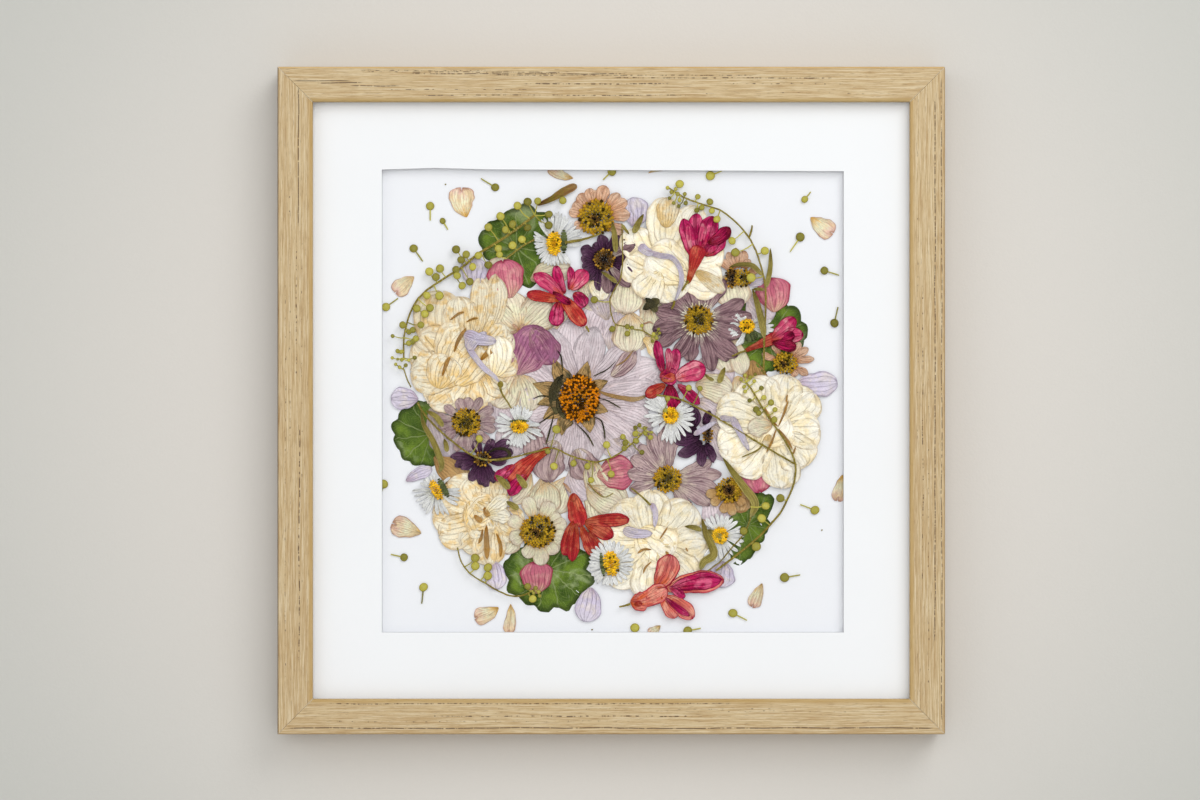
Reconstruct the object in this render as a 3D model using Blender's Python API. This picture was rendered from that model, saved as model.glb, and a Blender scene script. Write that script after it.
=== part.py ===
"""A pressed flower frame: a square oak moulding with glass, mat, specimens, sheet and backing.

Blender 4.5 script, metres, +Z up. The front faces -Y and the back plane of the rails is y = 0.
The origin is the notch of the sawtooth hanger, where the wall hook bears.
Lengths in the driving dimensions are millimetres, measured from the middle of the frame.
"""

import math

import bmesh
import bpy
from mathutils import Matrix, Vector

MM = 0.001

# Driving dimensions of the moulding
SIGHT_HALF = 147.7          # half of the opening seen from the front
FACE_WIDTH = 17.3           # width of a rail's face
FRAME_DEPTH = 20.0
LIP_THICKNESS = 3.5
LIP_OVERLAP = 5.2           # how far the lip stands in front of the rebate wall
ARRIS = 0.7                 # rounding of the front edges
MITRE_GAP = 0.16
GAP = 0.3                   # between pieces that touch

# Driving dimensions of what the rebate holds
SHEET_HALF = 152.4          # half of the 12 inch glass, mat, sheet and backing
GLASS_THICKNESS = 2.0
MAT_THICKNESS = 3.6
SHEET_THICKNESS = 0.4
BACKING_THICKNESS = 2.5
WINDOW_LEFT, WINDOW_RIGHT, WINDOW_BOTTOM = -113.8, 115.4, -115.1
WINDOW_TOP = ((WINDOW_RIGHT, 113.8), (-60.0, 114.7), (-88.0, 115.4), (WINDOW_LEFT, 114.6))

# Driving dimensions of the fixings on the back
TAB_LENGTH, TAB_WIDTH, TAB_THICKNESS = 15.0, 6.0, 0.6
TAB_IN_WOOD = 4.0
TAB_STATIONS = (-80.0, 80.0)
HANGER_LENGTH, HANGER_WIDTH, HANGER_THICKNESS = 45.0, 8.0, 1.0
HANGER_TEETH = 9
HANGER_BOTTOM = 149.5
TOOTH_DEPTH = 2.0
NAIL_STATION = 18.0
NAIL_RADIUS, NAIL_HEAD_RADIUS, NAIL_HEAD, NAIL_LENGTH = 0.7, 2.0, 0.8, 7.0

# Driving dimensions of the pressed specimens
PLATE = 0.2                 # thickness of one pressed layer
PITCH = 0.45                # from one layer to the next

HOOK_HEIGHT = HANGER_BOTTOM + TOOTH_DEPTH
LIP_BACK = FRAME_DEPTH - LIP_THICKNESS
GLASS_BACK = LIP_BACK - GAP - GLASS_THICKNESS
MAT_BACK = GLASS_BACK - GAP - MAT_THICKNESS
SHEET_BACK = MAT_BACK - GAP - SHEET_THICKNESS
BACKING_BACK = SHEET_BACK - GAP - BACKING_THICKNESS
SPECIMEN_BACK = MAT_BACK


def clear_scene():
    for old in list(bpy.data.objects):
        bpy.data.objects.remove(old, do_unlink=True)


def material(name, colour, roughness=0.6, metallic=0.0, alpha=1.0):
    """A plain Principled finish for one sub-part."""
    made = bpy.data.materials.new(name)
    made.use_nodes = True
    shader = made.node_tree.nodes["Principled BSDF"]
    shader.inputs["Base Color"].default_value = (*colour, 1.0)
    shader.inputs["Roughness"].default_value = roughness
    shader.inputs["Metallic"].default_value = metallic
    shader.inputs["Alpha"].default_value = alpha
    made.diffuse_color = (*colour, alpha)
    return made


def piece(name, mesh, finish, centre):
    """Links a named object under the empty at the middle of the frame."""
    mesh.materials.clear()
    mesh.materials.append(finish)
    made = bpy.data.objects.new(name, mesh)
    bpy.context.scene.collection.objects.link(made)
    made.parent = centre
    return made


def slab(outline, back, thickness):
    """A flat plate: the outline in x and z, from depth `back` forward by `thickness`."""
    shape = bmesh.new()
    corners = [shape.verts.new((x * MM, -back * MM, z * MM)) for x, z in outline]
    face = shape.faces.new(corners)
    grown = bmesh.ops.extrude_face_region(shape, geom=[face])
    moved = [part for part in grown["geom"] if isinstance(part, bmesh.types.BMVert)]
    bmesh.ops.translate(shape, vec=(0, -thickness * MM, 0), verts=moved)
    bmesh.ops.recalc_face_normals(shape, faces=shape.faces)
    bmesh.ops.triangulate(shape, faces=shape.faces)
    mesh = bpy.data.meshes.new("plate")
    shape.to_mesh(mesh)
    shape.free()
    return mesh


def square(half):
    return [(-half, -half), (half, -half), (half, half), (-half, half)]


# ---------------------------------------------------------------- the moulding


def rail_section():
    """The rail's section: (distance out from the sight edge, depth from the back)."""
    section = [(LIP_OVERLAP, 0.0), (LIP_OVERLAP, LIP_BACK), (0.0, LIP_BACK)]
    for middle_u, start in ((ARRIS, math.pi), (FACE_WIDTH - ARRIS, math.pi / 2)):
        for step in range(4):
            angle = start - step * math.pi / 6
            out = middle_u + ARRIS * math.cos(angle)
            deep = FRAME_DEPTH - ARRIS + ARRIS * math.sin(angle)
            section.append((out, deep))
    section.append((FACE_WIDTH, 0.0))
    return section


def rail_mesh():
    """The top rail, mitred at both ends."""
    shape = bmesh.new()
    rings = []
    for side in (-1, 1):
        ring = []
        for out, deep in rail_section():
            reach = SIGHT_HALF + out - MITRE_GAP / math.sqrt(2)
            ring.append(shape.verts.new((side * reach * MM, -deep * MM, (SIGHT_HALF + out) * MM)))
        rings.append(ring)
    count = len(rings[0])
    for at in range(count):
        after = (at + 1) % count
        shape.faces.new((rings[0][at], rings[0][after], rings[1][after], rings[1][at]))
    shape.faces.new(rings[0])
    shape.faces.new(rings[1])
    bmesh.ops.recalc_face_normals(shape, faces=shape.faces)
    mesh = bpy.data.meshes.new("rail")
    shape.to_mesh(mesh)
    shape.free()
    return mesh


def cutter(name, mesh, centre):
    """A helper solid that cuts and isn't part of the frame."""
    made = bpy.data.objects.new(name, mesh)
    bpy.context.scene.collection.objects.link(made)
    made.parent = centre
    made.hide_render = True
    made.display_type = "WIRE"
    return made


def box_mesh(low, high):
    shape = bmesh.new()
    size = [b - a for a, b in zip(low, high)]
    middle = [(a + b) / 2 for a, b in zip(low, high)]
    place = Matrix.Translation(Vector(middle) * MM) @ Matrix.Diagonal((*(s * MM for s in size), 1))
    bmesh.ops.create_cube(shape, size=1.0, matrix=place)
    mesh = bpy.data.meshes.new("box")
    shape.to_mesh(mesh)
    shape.free()
    return mesh


def rod_mesh(radius, start, end, x, z, sides=12):
    """A closed rod along Y."""
    shape = bmesh.new()
    turn = Matrix.Rotation(math.pi / 2, 4, "X")
    place = Matrix.Translation(Vector((x, (start + end) / 2, z)) * MM) @ turn
    bmesh.ops.create_cone(
        shape, cap_ends=True, segments=sides, radius1=radius * MM, radius2=radius * MM,
        depth=(end - start) * MM, matrix=place,
    )
    mesh = bpy.data.meshes.new("rod")
    shape.to_mesh(mesh)
    shape.free()
    return mesh


def cut(target, tool):
    made = target.modifiers.new(tool.name, "BOOLEAN")
    made.operation = "DIFFERENCE"
    made.solver = "EXACT"
    made.object = tool


def slot_mesh(station):
    """The slot in the top rail's rebate wall that a tab is driven into."""
    wall = SIGHT_HALF + LIP_OVERLAP
    half = TAB_WIDTH / 2 + GAP
    tab_front = BACKING_BACK - GAP
    low = (station - half, -tab_front - GAP, wall - 1.0)
    high = (station + half, -tab_front + TAB_THICKNESS + GAP, wall + TAB_IN_WOOD + GAP)
    return box_mesh(low, high)


def tab_mesh(station):
    wall = SIGHT_HALF + LIP_OVERLAP
    tab_front = BACKING_BACK - GAP
    low = (station - TAB_WIDTH / 2, -tab_front, wall + TAB_IN_WOOD - TAB_LENGTH)
    high = (station + TAB_WIDTH / 2, -tab_front + TAB_THICKNESS, wall + TAB_IN_WOOD)
    return box_mesh(low, high)


def build_moulding(centre):
    oak = material("oak", (0.62, 0.46, 0.23), 0.65)
    steel = material("tab_steel", (0.42, 0.43, 0.45), 0.35, 1.0)
    sides = {"top": 0.0, "right": 90.0, "bottom": 180.0, "left": 270.0}
    for name, degrees in sides.items():
        turn = Matrix.Rotation(math.radians(degrees), 4, "Y")
        rail = piece(f"rail_{name}", rail_mesh(), oak, centre)
        rail.rotation_euler = turn.to_euler()
        for number, station in enumerate(TAB_STATIONS, 1):
            tool = cutter(f"slot_{name}_{number}", slot_mesh(station), centre)
            tool.rotation_euler = turn.to_euler()
            cut(rail, tool)
            tab = piece(f"tab_{name}_{number}", tab_mesh(station), steel, centre)
            tab.rotation_euler = turn.to_euler()
        if name == "top":
            for side in (-1, 1):
                bore = rod_mesh(NAIL_RADIUS + GAP, -NAIL_LENGTH - GAP, 1.0, side * NAIL_STATION, NAIL_Z)
                cut(rail, cutter(f"nail_bore_{side}", bore, centre))


# ---------------------------------------------------------------- what the rebate holds


def mat_mesh():
    """The mat: a board with a hand-cut window."""
    shape = bmesh.new()
    window = [(WINDOW_LEFT, WINDOW_BOTTOM), (WINDOW_RIGHT, WINDOW_BOTTOM), *WINDOW_TOP]
    edges = []
    for outline in (square(SHEET_HALF), window):
        ring = [shape.verts.new((x * MM, -MAT_BACK * MM, z * MM)) for x, z in outline]
        for at, vert in enumerate(ring):
            edges.append(shape.edges.new((vert, ring[(at + 1) % len(ring)])))
    bmesh.ops.triangle_fill(shape, use_beauty=True, use_dissolve=False, edges=edges)
    grown = bmesh.ops.extrude_face_region(shape, geom=shape.faces[:])
    moved = [part for part in grown["geom"] if isinstance(part, bmesh.types.BMVert)]
    bmesh.ops.translate(shape, vec=(0, -MAT_THICKNESS * MM, 0), verts=moved)
    bmesh.ops.recalc_face_normals(shape, faces=shape.faces)
    mesh = bpy.data.meshes.new("mat")
    shape.to_mesh(mesh)
    shape.free()
    return mesh


def build_layers(centre):
    glass = material("clear_glass", (0.95, 0.97, 0.97), 0.02, 0.0, 0.2)
    card = material("mat_card", (0.93, 0.94, 0.95), 0.9)
    paper = material("mounting_paper", (0.90, 0.91, 0.92), 0.95)
    board = material("backing_hardboard", (0.32, 0.20, 0.11), 0.8)
    square_sheet = square(SHEET_HALF)
    piece("glass_pane", slab(square_sheet, GLASS_BACK, GLASS_THICKNESS), glass, centre)
    piece("mat_board", mat_mesh(), card, centre)
    piece("mounting_sheet", slab(square_sheet, SHEET_BACK, SHEET_THICKNESS), paper, centre)
    piece("backing_board", slab(square_sheet, BACKING_BACK, BACKING_THICKNESS), board, centre)


NAIL_Z = HANGER_BOTTOM + TOOTH_DEPTH + 0.65 * (HANGER_WIDTH - TOOTH_DEPTH)


def hanger_mesh():
    """A strip with a row of teeth along its lower edge."""
    half = HANGER_LENGTH / 2
    start, end = -half * 0.62, half * 0.62
    step = (end - start) / HANGER_TEETH
    outline = [(-half, HANGER_BOTTOM + TOOTH_DEPTH), (start - step / 2, HANGER_BOTTOM + TOOTH_DEPTH)]
    for tooth in range(HANGER_TEETH + 1):
        at = start + tooth * step
        outline.append((at, HANGER_BOTTOM))
        if tooth < HANGER_TEETH:
            outline.append((at + step / 2, HANGER_BOTTOM + TOOTH_DEPTH))
    outline.append((end + step / 2, HANGER_BOTTOM + TOOTH_DEPTH))
    outline.append((half, HANGER_BOTTOM + TOOTH_DEPTH))
    outline.append((half, HANGER_BOTTOM + HANGER_WIDTH))
    outline.append((-half, HANGER_BOTTOM + HANGER_WIDTH))
    return slab(outline, -GAP - HANGER_THICKNESS, HANGER_THICKNESS)


def nail_mesh(side):
    """A nail through the hanger: head and shank in one solid, turned about Y."""
    shape = bmesh.new()
    head_face = GAP + HANGER_THICKNESS + GAP
    profile = (
        (0.0, head_face + NAIL_HEAD), (NAIL_HEAD_RADIUS, head_face + NAIL_HEAD * 0.6),
        (NAIL_HEAD_RADIUS, head_face), (NAIL_RADIUS, head_face), (NAIL_RADIUS, -NAIL_LENGTH + 1.0),
        (0.0, -NAIL_LENGTH),
    )
    where = Vector((side * NAIL_STATION, 0, NAIL_Z)) * MM
    line = [shape.verts.new((where.x + r * MM, y * MM, where.z)) for r, y in profile]
    edges = [shape.edges.new(pair) for pair in zip(line, line[1:])]
    bmesh.ops.spin(
        shape, geom=line + edges, cent=where, axis=(0, 1, 0), angle=math.tau, steps=12,
        use_merge=True,
    )
    bmesh.ops.remove_doubles(shape, verts=shape.verts, dist=1e-6)
    bmesh.ops.recalc_face_normals(shape, faces=shape.faces)
    mesh = bpy.data.meshes.new("nail")
    shape.to_mesh(mesh)
    shape.free()
    return mesh


def build_hanger(centre):
    brass = material("hanger_steel", (0.55, 0.52, 0.45), 0.35, 1.0)
    hanger = piece("sawtooth_hanger", hanger_mesh(), brass, centre)
    for side, name in ((-1, "right"), (1, "left")):
        hole = rod_mesh(NAIL_RADIUS + GAP, -1.0, 3.0, side * NAIL_STATION, NAIL_Z)
        cut(hanger, cutter(f"hanger_hole_{name}", hole, centre))
        piece(f"hanger_nail_{name}", nail_mesh(side), brass, centre)


# ---------------------------------------------------------------- outlines of the specimens


def polar(middle, reach, angle):
    """The point at `reach` from `middle`, with the angle in degrees from +X towards +Z."""
    turn = math.radians(angle)
    return (middle[0] + reach * math.cos(turn), middle[1] + reach * math.sin(turn))


def disc_flower(middle, tip, valley, petals, start=0.0, span=360.0, squash=1.0):
    """A flower head seen from above: round-ended petals around a disc, over `span` degrees."""
    outline = []
    step = span / petals
    for number in range(petals):
        first = start + number * step
        for share, reach in ((0.0, valley), (0.28, tip * 0.93), (0.5, tip), (0.72, tip * 0.93)):
            x, z = polar((0, 0), reach, first + share * step)
            outline.append((middle[0] + x * squash, middle[1] + z))
    if span < 360:
        outline.append(polar(middle, valley * 0.6, start + span))
        outline.append(polar(middle, valley * 0.6, start + 180 + span / 2))
    return outline


def scalloped(middle, length, width, angle, scallops, depth=0.06):
    """A leaf or ruffled flower: an ellipse whose edge is a row of round scallops."""
    outline = []
    turn = math.radians(angle)
    for step in range(scallops * 4):
        around = math.tau * step / (scallops * 4)
        swell = 1 - depth + depth * abs(math.sin(around * scallops / 2))
        along = length / 2 * swell * math.cos(around)
        across = width / 2 * swell * math.sin(around)
        x = middle[0] + along * math.cos(turn) - across * math.sin(turn)
        z = middle[1] + along * math.sin(turn) + across * math.cos(turn)
        outline.append((x, z))
    return outline


def star(middle, tips, waist):
    """A flower with long separate petals: one blunt petal to each tip, in order of angle.
    A petal that stands close to its neighbour is narrower, so the two never cross."""
    outline = []
    around = sorted(tips, key=lambda tip: math.atan2(tip[1] - middle[1], tip[0] - middle[0]))
    count = len(around)
    angles = [math.atan2(tip[1] - middle[1], tip[0] - middle[0]) for tip in around]
    gaps = [(angles[(at + 1) % count] - angles[at]) % math.tau for at in range(count)]
    for at, tip in enumerate(around):
        along = Vector((tip[0] - middle[0], tip[1] - middle[1]))
        closest = min(gaps[at], gaps[at - 1], math.pi / 2)
        half = min(waist, 0.42 * along.length * math.tan(closest / 2))
        side = Vector((-along.y, along.x)).normalized() * half
        base = Vector(middle)
        for share, spread in ((0.55, -1.0), (0.92, -0.7), (1.0, 0.0), (0.92, 0.7), (0.55, 1.0)):
            point = base + along * share + side * spread
            outline.append((point.x, point.y))
        outline.append(polar(middle, waist, math.degrees(angles[at] + gaps[at] / 2)))
    return outline


def smooth_path(points, steps):
    """Points along a Catmull-Rom curve through `points`, `steps` to each stretch."""
    ends = [points[0], *points, points[-1]]
    path = []
    for at in range(len(points) - 1):
        p0, p1, p2, p3 = (Vector(p) for p in ends[at:at + 4])
        for step in range(steps):
            t = step / steps
            a = 2 * p1 + (p2 - p0) * t + (2 * p0 - 5 * p1 + 4 * p2 - p3) * t * t
            path.append((a + (3 * p1 - p0 - 3 * p2 + p3) * t ** 3) / 2)
    path.append(Vector(points[-1]))
    return path


def ribbon(points, widths, steps=2):
    """A strip along a curve: a twig, a stem or a flattened tube. Widths are spread evenly."""
    path = smooth_path(points, steps)
    left, right = [], []
    for at, here in enumerate(path):
        along = (path[min(at + 1, len(path) - 1)] - path[max(at - 1, 0)]).normalized()
        place = at / (len(path) - 1) * (len(widths) - 1)
        low = min(int(place), len(widths) - 2)
        width = widths[low] + (widths[low + 1] - widths[low]) * (place - low)
        side = Vector((-along.y, along.x)) * width / 2
        left.append(tuple(here + side))
        right.append(tuple(here - side))
    return left + right[::-1]


LEAF = ("geranium_leaf", (0.10, 0.20, 0.04))
CREAM = ("cream_petal", (0.93, 0.80, 0.55))
PEACH = ("peach_petal", (0.72, 0.46, 0.27))
WHITE = ("white_petal", (0.90, 0.90, 0.86))
MAUVE = ("mauve_petal", (0.42, 0.28, 0.32))
PLUM = ("plum_petal", (0.10, 0.04, 0.09))
CRIMSON = ("crimson_petal", (0.50, 0.02, 0.08))
SALMON = ("salmon_petal", (0.72, 0.20, 0.14))
COSMOS = ("cosmos_petal", (0.80, 0.72, 0.78))
TWIG = ("olive_twig", (0.30, 0.25, 0.07))
PINK = ("pink_petal", (0.60, 0.20, 0.25))

# name, finish, layer above the sheet, outline
SPECIMENS = (
    ("geranium_leaf_upper_left", LEAF, 0, scalloped((-46, 76), 40, 28, 35, 9)),
    ("geranium_leaf_left", LEAF, 0, scalloped((-93, -16.7), 32, 29, 80, 10)),
    ("geranium_leaf_right", LEAF, 0, scalloped((81, 32), 36, 28, 60, 9)),
    ("geranium_leaf_lower_right", LEAF, 0, scalloped((70.5, -63), 34, 19, 75, 8)),
    ("geranium_leaf_bottom", LEAF, 0, scalloped((-30.7, -88.7), 42, 28, 0, 11)),
    ("centre_cosmos", COSMOS, 0, disc_flower((-15.5, 1), 38, 26, 8, 12)),
    ("mauve_hydrangea_floret", PINK, 1, scalloped((-41, 32), 34, 22, -50, 5, 0.12)),
    ("cream_carnation_upper_left", CREAM, 0, scalloped((-74, 31), 56, 50, 100, 9)),
    ("beige_daisy_upper_right", PEACH, 0, disc_flower((61, 62.5), 9.5, 7, 7, 10)),
    ("peach_daisy_right", PEACH, 3, disc_flower((85.6, 18.6), 14, 8, 9, 0)),
    ("crimson_trumpet_right", CRIMSON, 2, ribbon(((69, 25.5), (79, 29), (93, 35)), (1.5, 8, 13))),
    ("white_daisy_right", WHITE, 1, disc_flower((66.5, 36), 10.5, 6.5, 9, 0)),
    ("peach_daisy_top", PEACH, 0, disc_flower((-7.9, 91.5), 15.5, 10, 10, 5)),
    ("white_daisy_upper", WHITE, 1, disc_flower((-27.7, 77.8), 13.2, 9, 11, 0)),
    ("purple_daisy_upper", PLUM, 2, disc_flower((-3.7, 69.6), 14.2, 8, 9, 15)),
    ("crimson_star_upper_left", CRIMSON, 3, star(
        (-21, 51), ((-38, 61.5), (-27, 65.5), (-12.5, 64), (-14, 38), (-27, 37.5), (-42, 53)),
        3.2)),
    ("mauve_daisy_right", MAUVE, 2, disc_flower((43.3, 39.7), 21.5, 14, 10, 8)),
    ("cream_flower_upper_right", CREAM, 3, scalloped((32, 75.5), 52, 48, 20, 7)),
    ("crimson_trumpet_upper_right", CRIMSON, 4, ribbon(
        ((36, 56), (40, 64), (45, 77), (48, 89)), (1.5, 7, 16, 24))),
    ("white_daisy_centre_right", WHITE, 2, disc_flower((29.3, -8.4), 13, 7, 9, 10)),
    ("crimson_star_centre", CRIMSON, 3, star(
        (28.5, 10.6), ((22.5, 28.5), (32, 25), (45, 15.5), (42.5, 0.5), (30.5, -5), (18.5, 3.8)), 2.6)),
    ("plum_daisy_centre_right", PLUM, 1, disc_flower((42.8, -18), 11, 6, 7, 80, 220)),
    ("pinkish_daisy_lower", MAUVE, 0, disc_flower((28, -38.4), 20, 13, 10, 0)),
    ("cream_flower_bottom", CREAM, 2, scalloped((21, -71), 54, 52, 10, 7)),
    ("cream_flower_right", CREAM, 4, scalloped((80, -15), 54, 50, 100, 8)),
    ("dark_eyed_daisy_lower_right", PEACH, 3, disc_flower((58.5, -46), 11.5, 7, 8, 0)),
    ("white_daisy_lower_right", WHITE, 1, disc_flower((54.5, -67), 11.5, 7, 9, 0)),
    ("orange_trumpet_bottom", SALMON, 3, star(
        (-15, -63), ((-19, -49), (7, -58.5), (0, -67), (-5, -74), (-10, -76), (-20, -79)), 3.4)),
    ("white_daisy_bottom", WHITE, 4, disc_flower((0, -81), 11, 7, 10, 0)),
    ("salmon_flower_bottom", SALMON, 5, star(
        (24, -96), ((12, -101), (29, -80), (54, -87), (42, -104)), 4.5)),
    ("cream_carnation_lower_left", CREAM, 0, scalloped((-64, -57), 48, 44, 60, 9)),
    ("golden_daisy_lower_left", MAUVE, 1, disc_flower((-36, -64), 16, 11, 11, 0)),
    ("purple_daisy_left", PLUM, 2, disc_flower((-63.7, -31.7), 14, 8, 9, 0)),
    ("white_daisy_left", WHITE, 1, disc_flower((-87.4, -45), 12, 7, 10, 0)),
    ("mauve_daisy_left", MAUVE, 3, disc_flower((-72, -10.7), 14.5, 9, 12, 0)),
    ("white_daisy_centre_left", WHITE, 1, disc_flower((-45.7, -13), 11.5, 7, 9, 0)),
    ("pink_trumpet_left", CRIMSON, 4, ribbon(((-32, -25), (-41, -33), (-51, -41)), (3, 11, 15))),
    ("bud_twig_upper_left", TWIG, 2, ribbon(
        ((-18, 107), (-35, 98), (-35, 94), (-52, 82), (-66, 73), (-79, 64), (-94, 51), (-103, 22)),
        (5, 4, 1.4, 1.2, 1.2, 1.2, 1.2, 1.2))),
    ("bud_twig_upper_right", TWIG, 5, ribbon(
        ((29, 105), (40, 101), (49, 98), (61, 90.6), (70, 79), (75, 66), (76.6, 49), (75.8, 14)),
        (1, 1.3, 1.5, 1.5, 1.5, 1.5, 1.5, 1.5))),
    ("bud_twig_right", TWIG, 5, ribbon(
        ((65, 12), (71, 3), (77, -6), (85, -18), (91.6, -32), (90, -47), (79, -66), (61, -83)),
        (1, 1.3, 1.5, 1.7, 1.7, 1.7, 1.7, 1.7))),
    ("bud_twig_centre", TWIG, 5, ribbon(
        ((-94, -3), (-82, -17), (-70, -26.5), (-58, -29.5), (-44, -26), (-32, -23.5), (-20, -27),
         (-8, -30), (4, -26), (13, -18), (19, -9)), (1.2, 1.5, 1.5, 1.4, 1.2, 1.2, 1))),
)


def build_specimens(centre):
    finishes = {}
    for name, (finish, colour), layer, outline in SPECIMENS:
        if finish not in finishes:
            finishes[finish] = material(finish, colour)
        back = SPECIMEN_BACK + layer * PITCH
        piece(name, slab(outline, back, PLATE), finishes[finish], centre)


def main():
    clear_scene()
    centre = bpy.data.objects.new("frame_centre", None)
    bpy.context.scene.collection.objects.link(centre)
    centre.location = (0, 0, -HOOK_HEIGHT * MM)
    build_moulding(centre)
    build_layers(centre)
    build_hanger(centre)
    build_specimens(centre)


main()
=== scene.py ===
"""The looks of a pressed flower frame: oak moulding, glass, mat, and dried flowers on paper."""
import math
import random

import bpy
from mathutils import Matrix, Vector, noise


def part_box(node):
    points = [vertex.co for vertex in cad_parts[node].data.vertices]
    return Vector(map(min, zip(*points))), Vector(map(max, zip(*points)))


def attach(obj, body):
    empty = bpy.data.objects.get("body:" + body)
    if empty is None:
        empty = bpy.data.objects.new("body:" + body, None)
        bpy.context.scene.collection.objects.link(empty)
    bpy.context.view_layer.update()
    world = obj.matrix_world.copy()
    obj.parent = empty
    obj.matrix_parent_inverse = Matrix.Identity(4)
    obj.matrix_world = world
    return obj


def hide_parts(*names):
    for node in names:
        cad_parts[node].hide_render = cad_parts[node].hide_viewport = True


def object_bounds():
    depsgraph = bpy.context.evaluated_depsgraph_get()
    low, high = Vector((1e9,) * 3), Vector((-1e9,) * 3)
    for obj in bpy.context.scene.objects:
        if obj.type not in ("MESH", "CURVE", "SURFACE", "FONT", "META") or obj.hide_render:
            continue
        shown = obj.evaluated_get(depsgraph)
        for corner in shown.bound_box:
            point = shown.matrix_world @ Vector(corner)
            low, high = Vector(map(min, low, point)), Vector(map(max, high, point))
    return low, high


bl_info = {
    "name": "Pressed Flower Frame",
    "version": (1, 0, 0),
    "blender": (4, 5, 0),
    "location": "View3D > Sidebar > Flower Frame",
    "description": "Makes the flowers, leaves and finishes of a pressed flower frame",
    "category": "Object",
}

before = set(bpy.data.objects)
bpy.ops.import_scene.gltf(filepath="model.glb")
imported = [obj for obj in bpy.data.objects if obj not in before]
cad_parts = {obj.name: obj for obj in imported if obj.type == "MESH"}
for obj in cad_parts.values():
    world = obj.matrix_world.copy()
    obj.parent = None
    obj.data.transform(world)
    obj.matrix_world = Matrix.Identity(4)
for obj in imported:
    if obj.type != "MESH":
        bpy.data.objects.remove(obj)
CAD_BOX = [list(corner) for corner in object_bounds()]
MM = 0.001
SHEET_LOW, SHEET_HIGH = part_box("mounting_sheet")
MIDDLE_X = (SHEET_LOW.x + SHEET_HIGH.x) / 2
MIDDLE_Z = (SHEET_LOW.z + SHEET_HIGH.z) / 2
SHEET_FRONT = SHEET_LOW.y
RAILS = {side: f"rail_{side}" for side in ("top", "bottom", "left", "right")}


def srgb(red, green, blue, share=1.0):
    """A screen colour, 0 to 255, as the linear colour that a socket takes."""
    parts = (part * share / 255 for part in (red, green, blue))
    return tuple(p / 12.92 if p <= 0.04045 else ((p + 0.055) / 1.055) ** 2.4 for p in parts)


def colour(name, description, red, green, blue):
    return bpy.props.FloatVectorProperty(
        name=name, description=description, default=srgb(red, green, blue),
        size=3, min=0.0, max=1.0, subtype="COLOR",
    )


def length(name, description, default):
    return bpy.props.FloatProperty(
        name=name, description=description, default=default, min=0.0, unit="LENGTH", precision=5,
    )


def share(name, description, default):
    return bpy.props.FloatProperty(
        name=name, description=description, default=default, min=0.0, max=1.0, subtype="FACTOR",
    )


class PressSettings(bpy.types.PropertyGroup):
    """How the dried material lies."""
    wall: length("Petal Thickness", "Thickness of a dried petal", 0.00008)
    layer: length("Layer Height", "Height of each layer above the one below", 0.00026)
    crumple: length("Crumple", "How far a petal stands up and down as it dries", 0.00016)
    frill: share("Frill", "How uneven the petals' edges are", 0.5)


class PetalColours(bpy.types.PropertyGroup):
    """The dried colours of the petals and leaves."""
    cream: colour("Cream", "Cream petals", 252, 238, 206)
    white: colour("White", "White daisy petals", 250, 250, 248)
    peach: colour("Peach", "Peach daisy petals", 231, 190, 160)
    plum: colour("Plum", "Dark purple daisy petals", 84, 50, 78)
    mauve: colour("Mauve", "Mauve daisy petals", 166, 134, 138)
    crimson: colour("Crimson", "Crimson petals", 188, 32, 88)
    pink: colour("Pink", "Pale sides of the crimson petals", 216, 88, 122)
    rust: colour("Rust", "Rusty middles of the crimson flowers", 190, 62, 52)
    salmon: colour("Salmon", "Salmon petals", 228, 122, 104)
    cosmos: colour("Cosmos", "Pale petals of the middle flower", 250, 234, 238)
    hydrangea: colour("Hydrangea", "Mauve pink florets", 176, 112, 144)
    ivory: colour("Ivory", "Palest cream petals", 255, 247, 224)
    tan: colour("Tan", "Tan petals and streaks", 206, 166, 110)
    pale_mauve: colour("Pale mauve", "Pale mauve petals", 206, 180, 178)
    beige: colour("Beige", "Beige florets", 255, 250, 216)
    rose: colour("Rose", "Rose pink petals", 214, 124, 140)
    lilac: colour("Lilac", "Lilac florets and tubes", 234, 224, 244)
    calyx: colour("Calyx", "Dark dry calyxes", 72, 68, 48)
    leaf: colour("Leaf", "Scalloped green leaves", 72, 96, 32)
    olive: colour("Olive", "Narrow olive leaves", 172, 156, 84)
    twig: colour("Twig", "Twigs and bud stalks", 138, 122, 50)
    bud: colour("Bud", "Round flat buds", 172, 166, 84)


class MouldingColours(bpy.types.PropertyGroup):
    """The finishes of the moulding and what it holds."""
    oak: colour("Oak", "Plain colour of the wood", 209, 186, 144)
    oak_dark: colour("Oak Grain", "Darker grain", 182, 150, 104)
    oak_pale: colour("Oak Fleck", "Paler grain", 224, 207, 172)
    crack: colour("Crack", "Old splits in the wood", 84, 62, 48)
    mat: colour("Mat", "Face of the mat", 248, 249, 251)
    sheet: colour("Sheet", "Paper that the flowers lie on", 244, 245, 249)
    hardboard: colour("Hardboard", "Backing board", 120, 88, 58)
    steel: colour("Steel", "Hanger, nails and tabs", 176, 178, 182)


class StageSettings(bpy.types.PropertyGroup):
    """The wall, lights and camera."""
    wall: colour("Wall", "Painted wall behind the frame", 222, 218, 211)
    distance: length("Camera Distance", "From the front of the frame to the camera", 1.40)
    lens: bpy.props.FloatProperty(
        name="Lens", description="Focal length of the camera", default=85.0, min=10.0,
        unit="CAMERA",
    )
    key_power: bpy.props.FloatProperty(
        name="Key Light", description="Power of the soft light, in watts", default=11.0, min=0.0,
    )
    fill: bpy.props.FloatProperty(
        name="Fill", description="Strength of the light from all round", default=0.45, min=0.0,
    )


def settings():
    return bpy.context.scene.flower_frame


# ---------------------------------------------------------------- material tools


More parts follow.
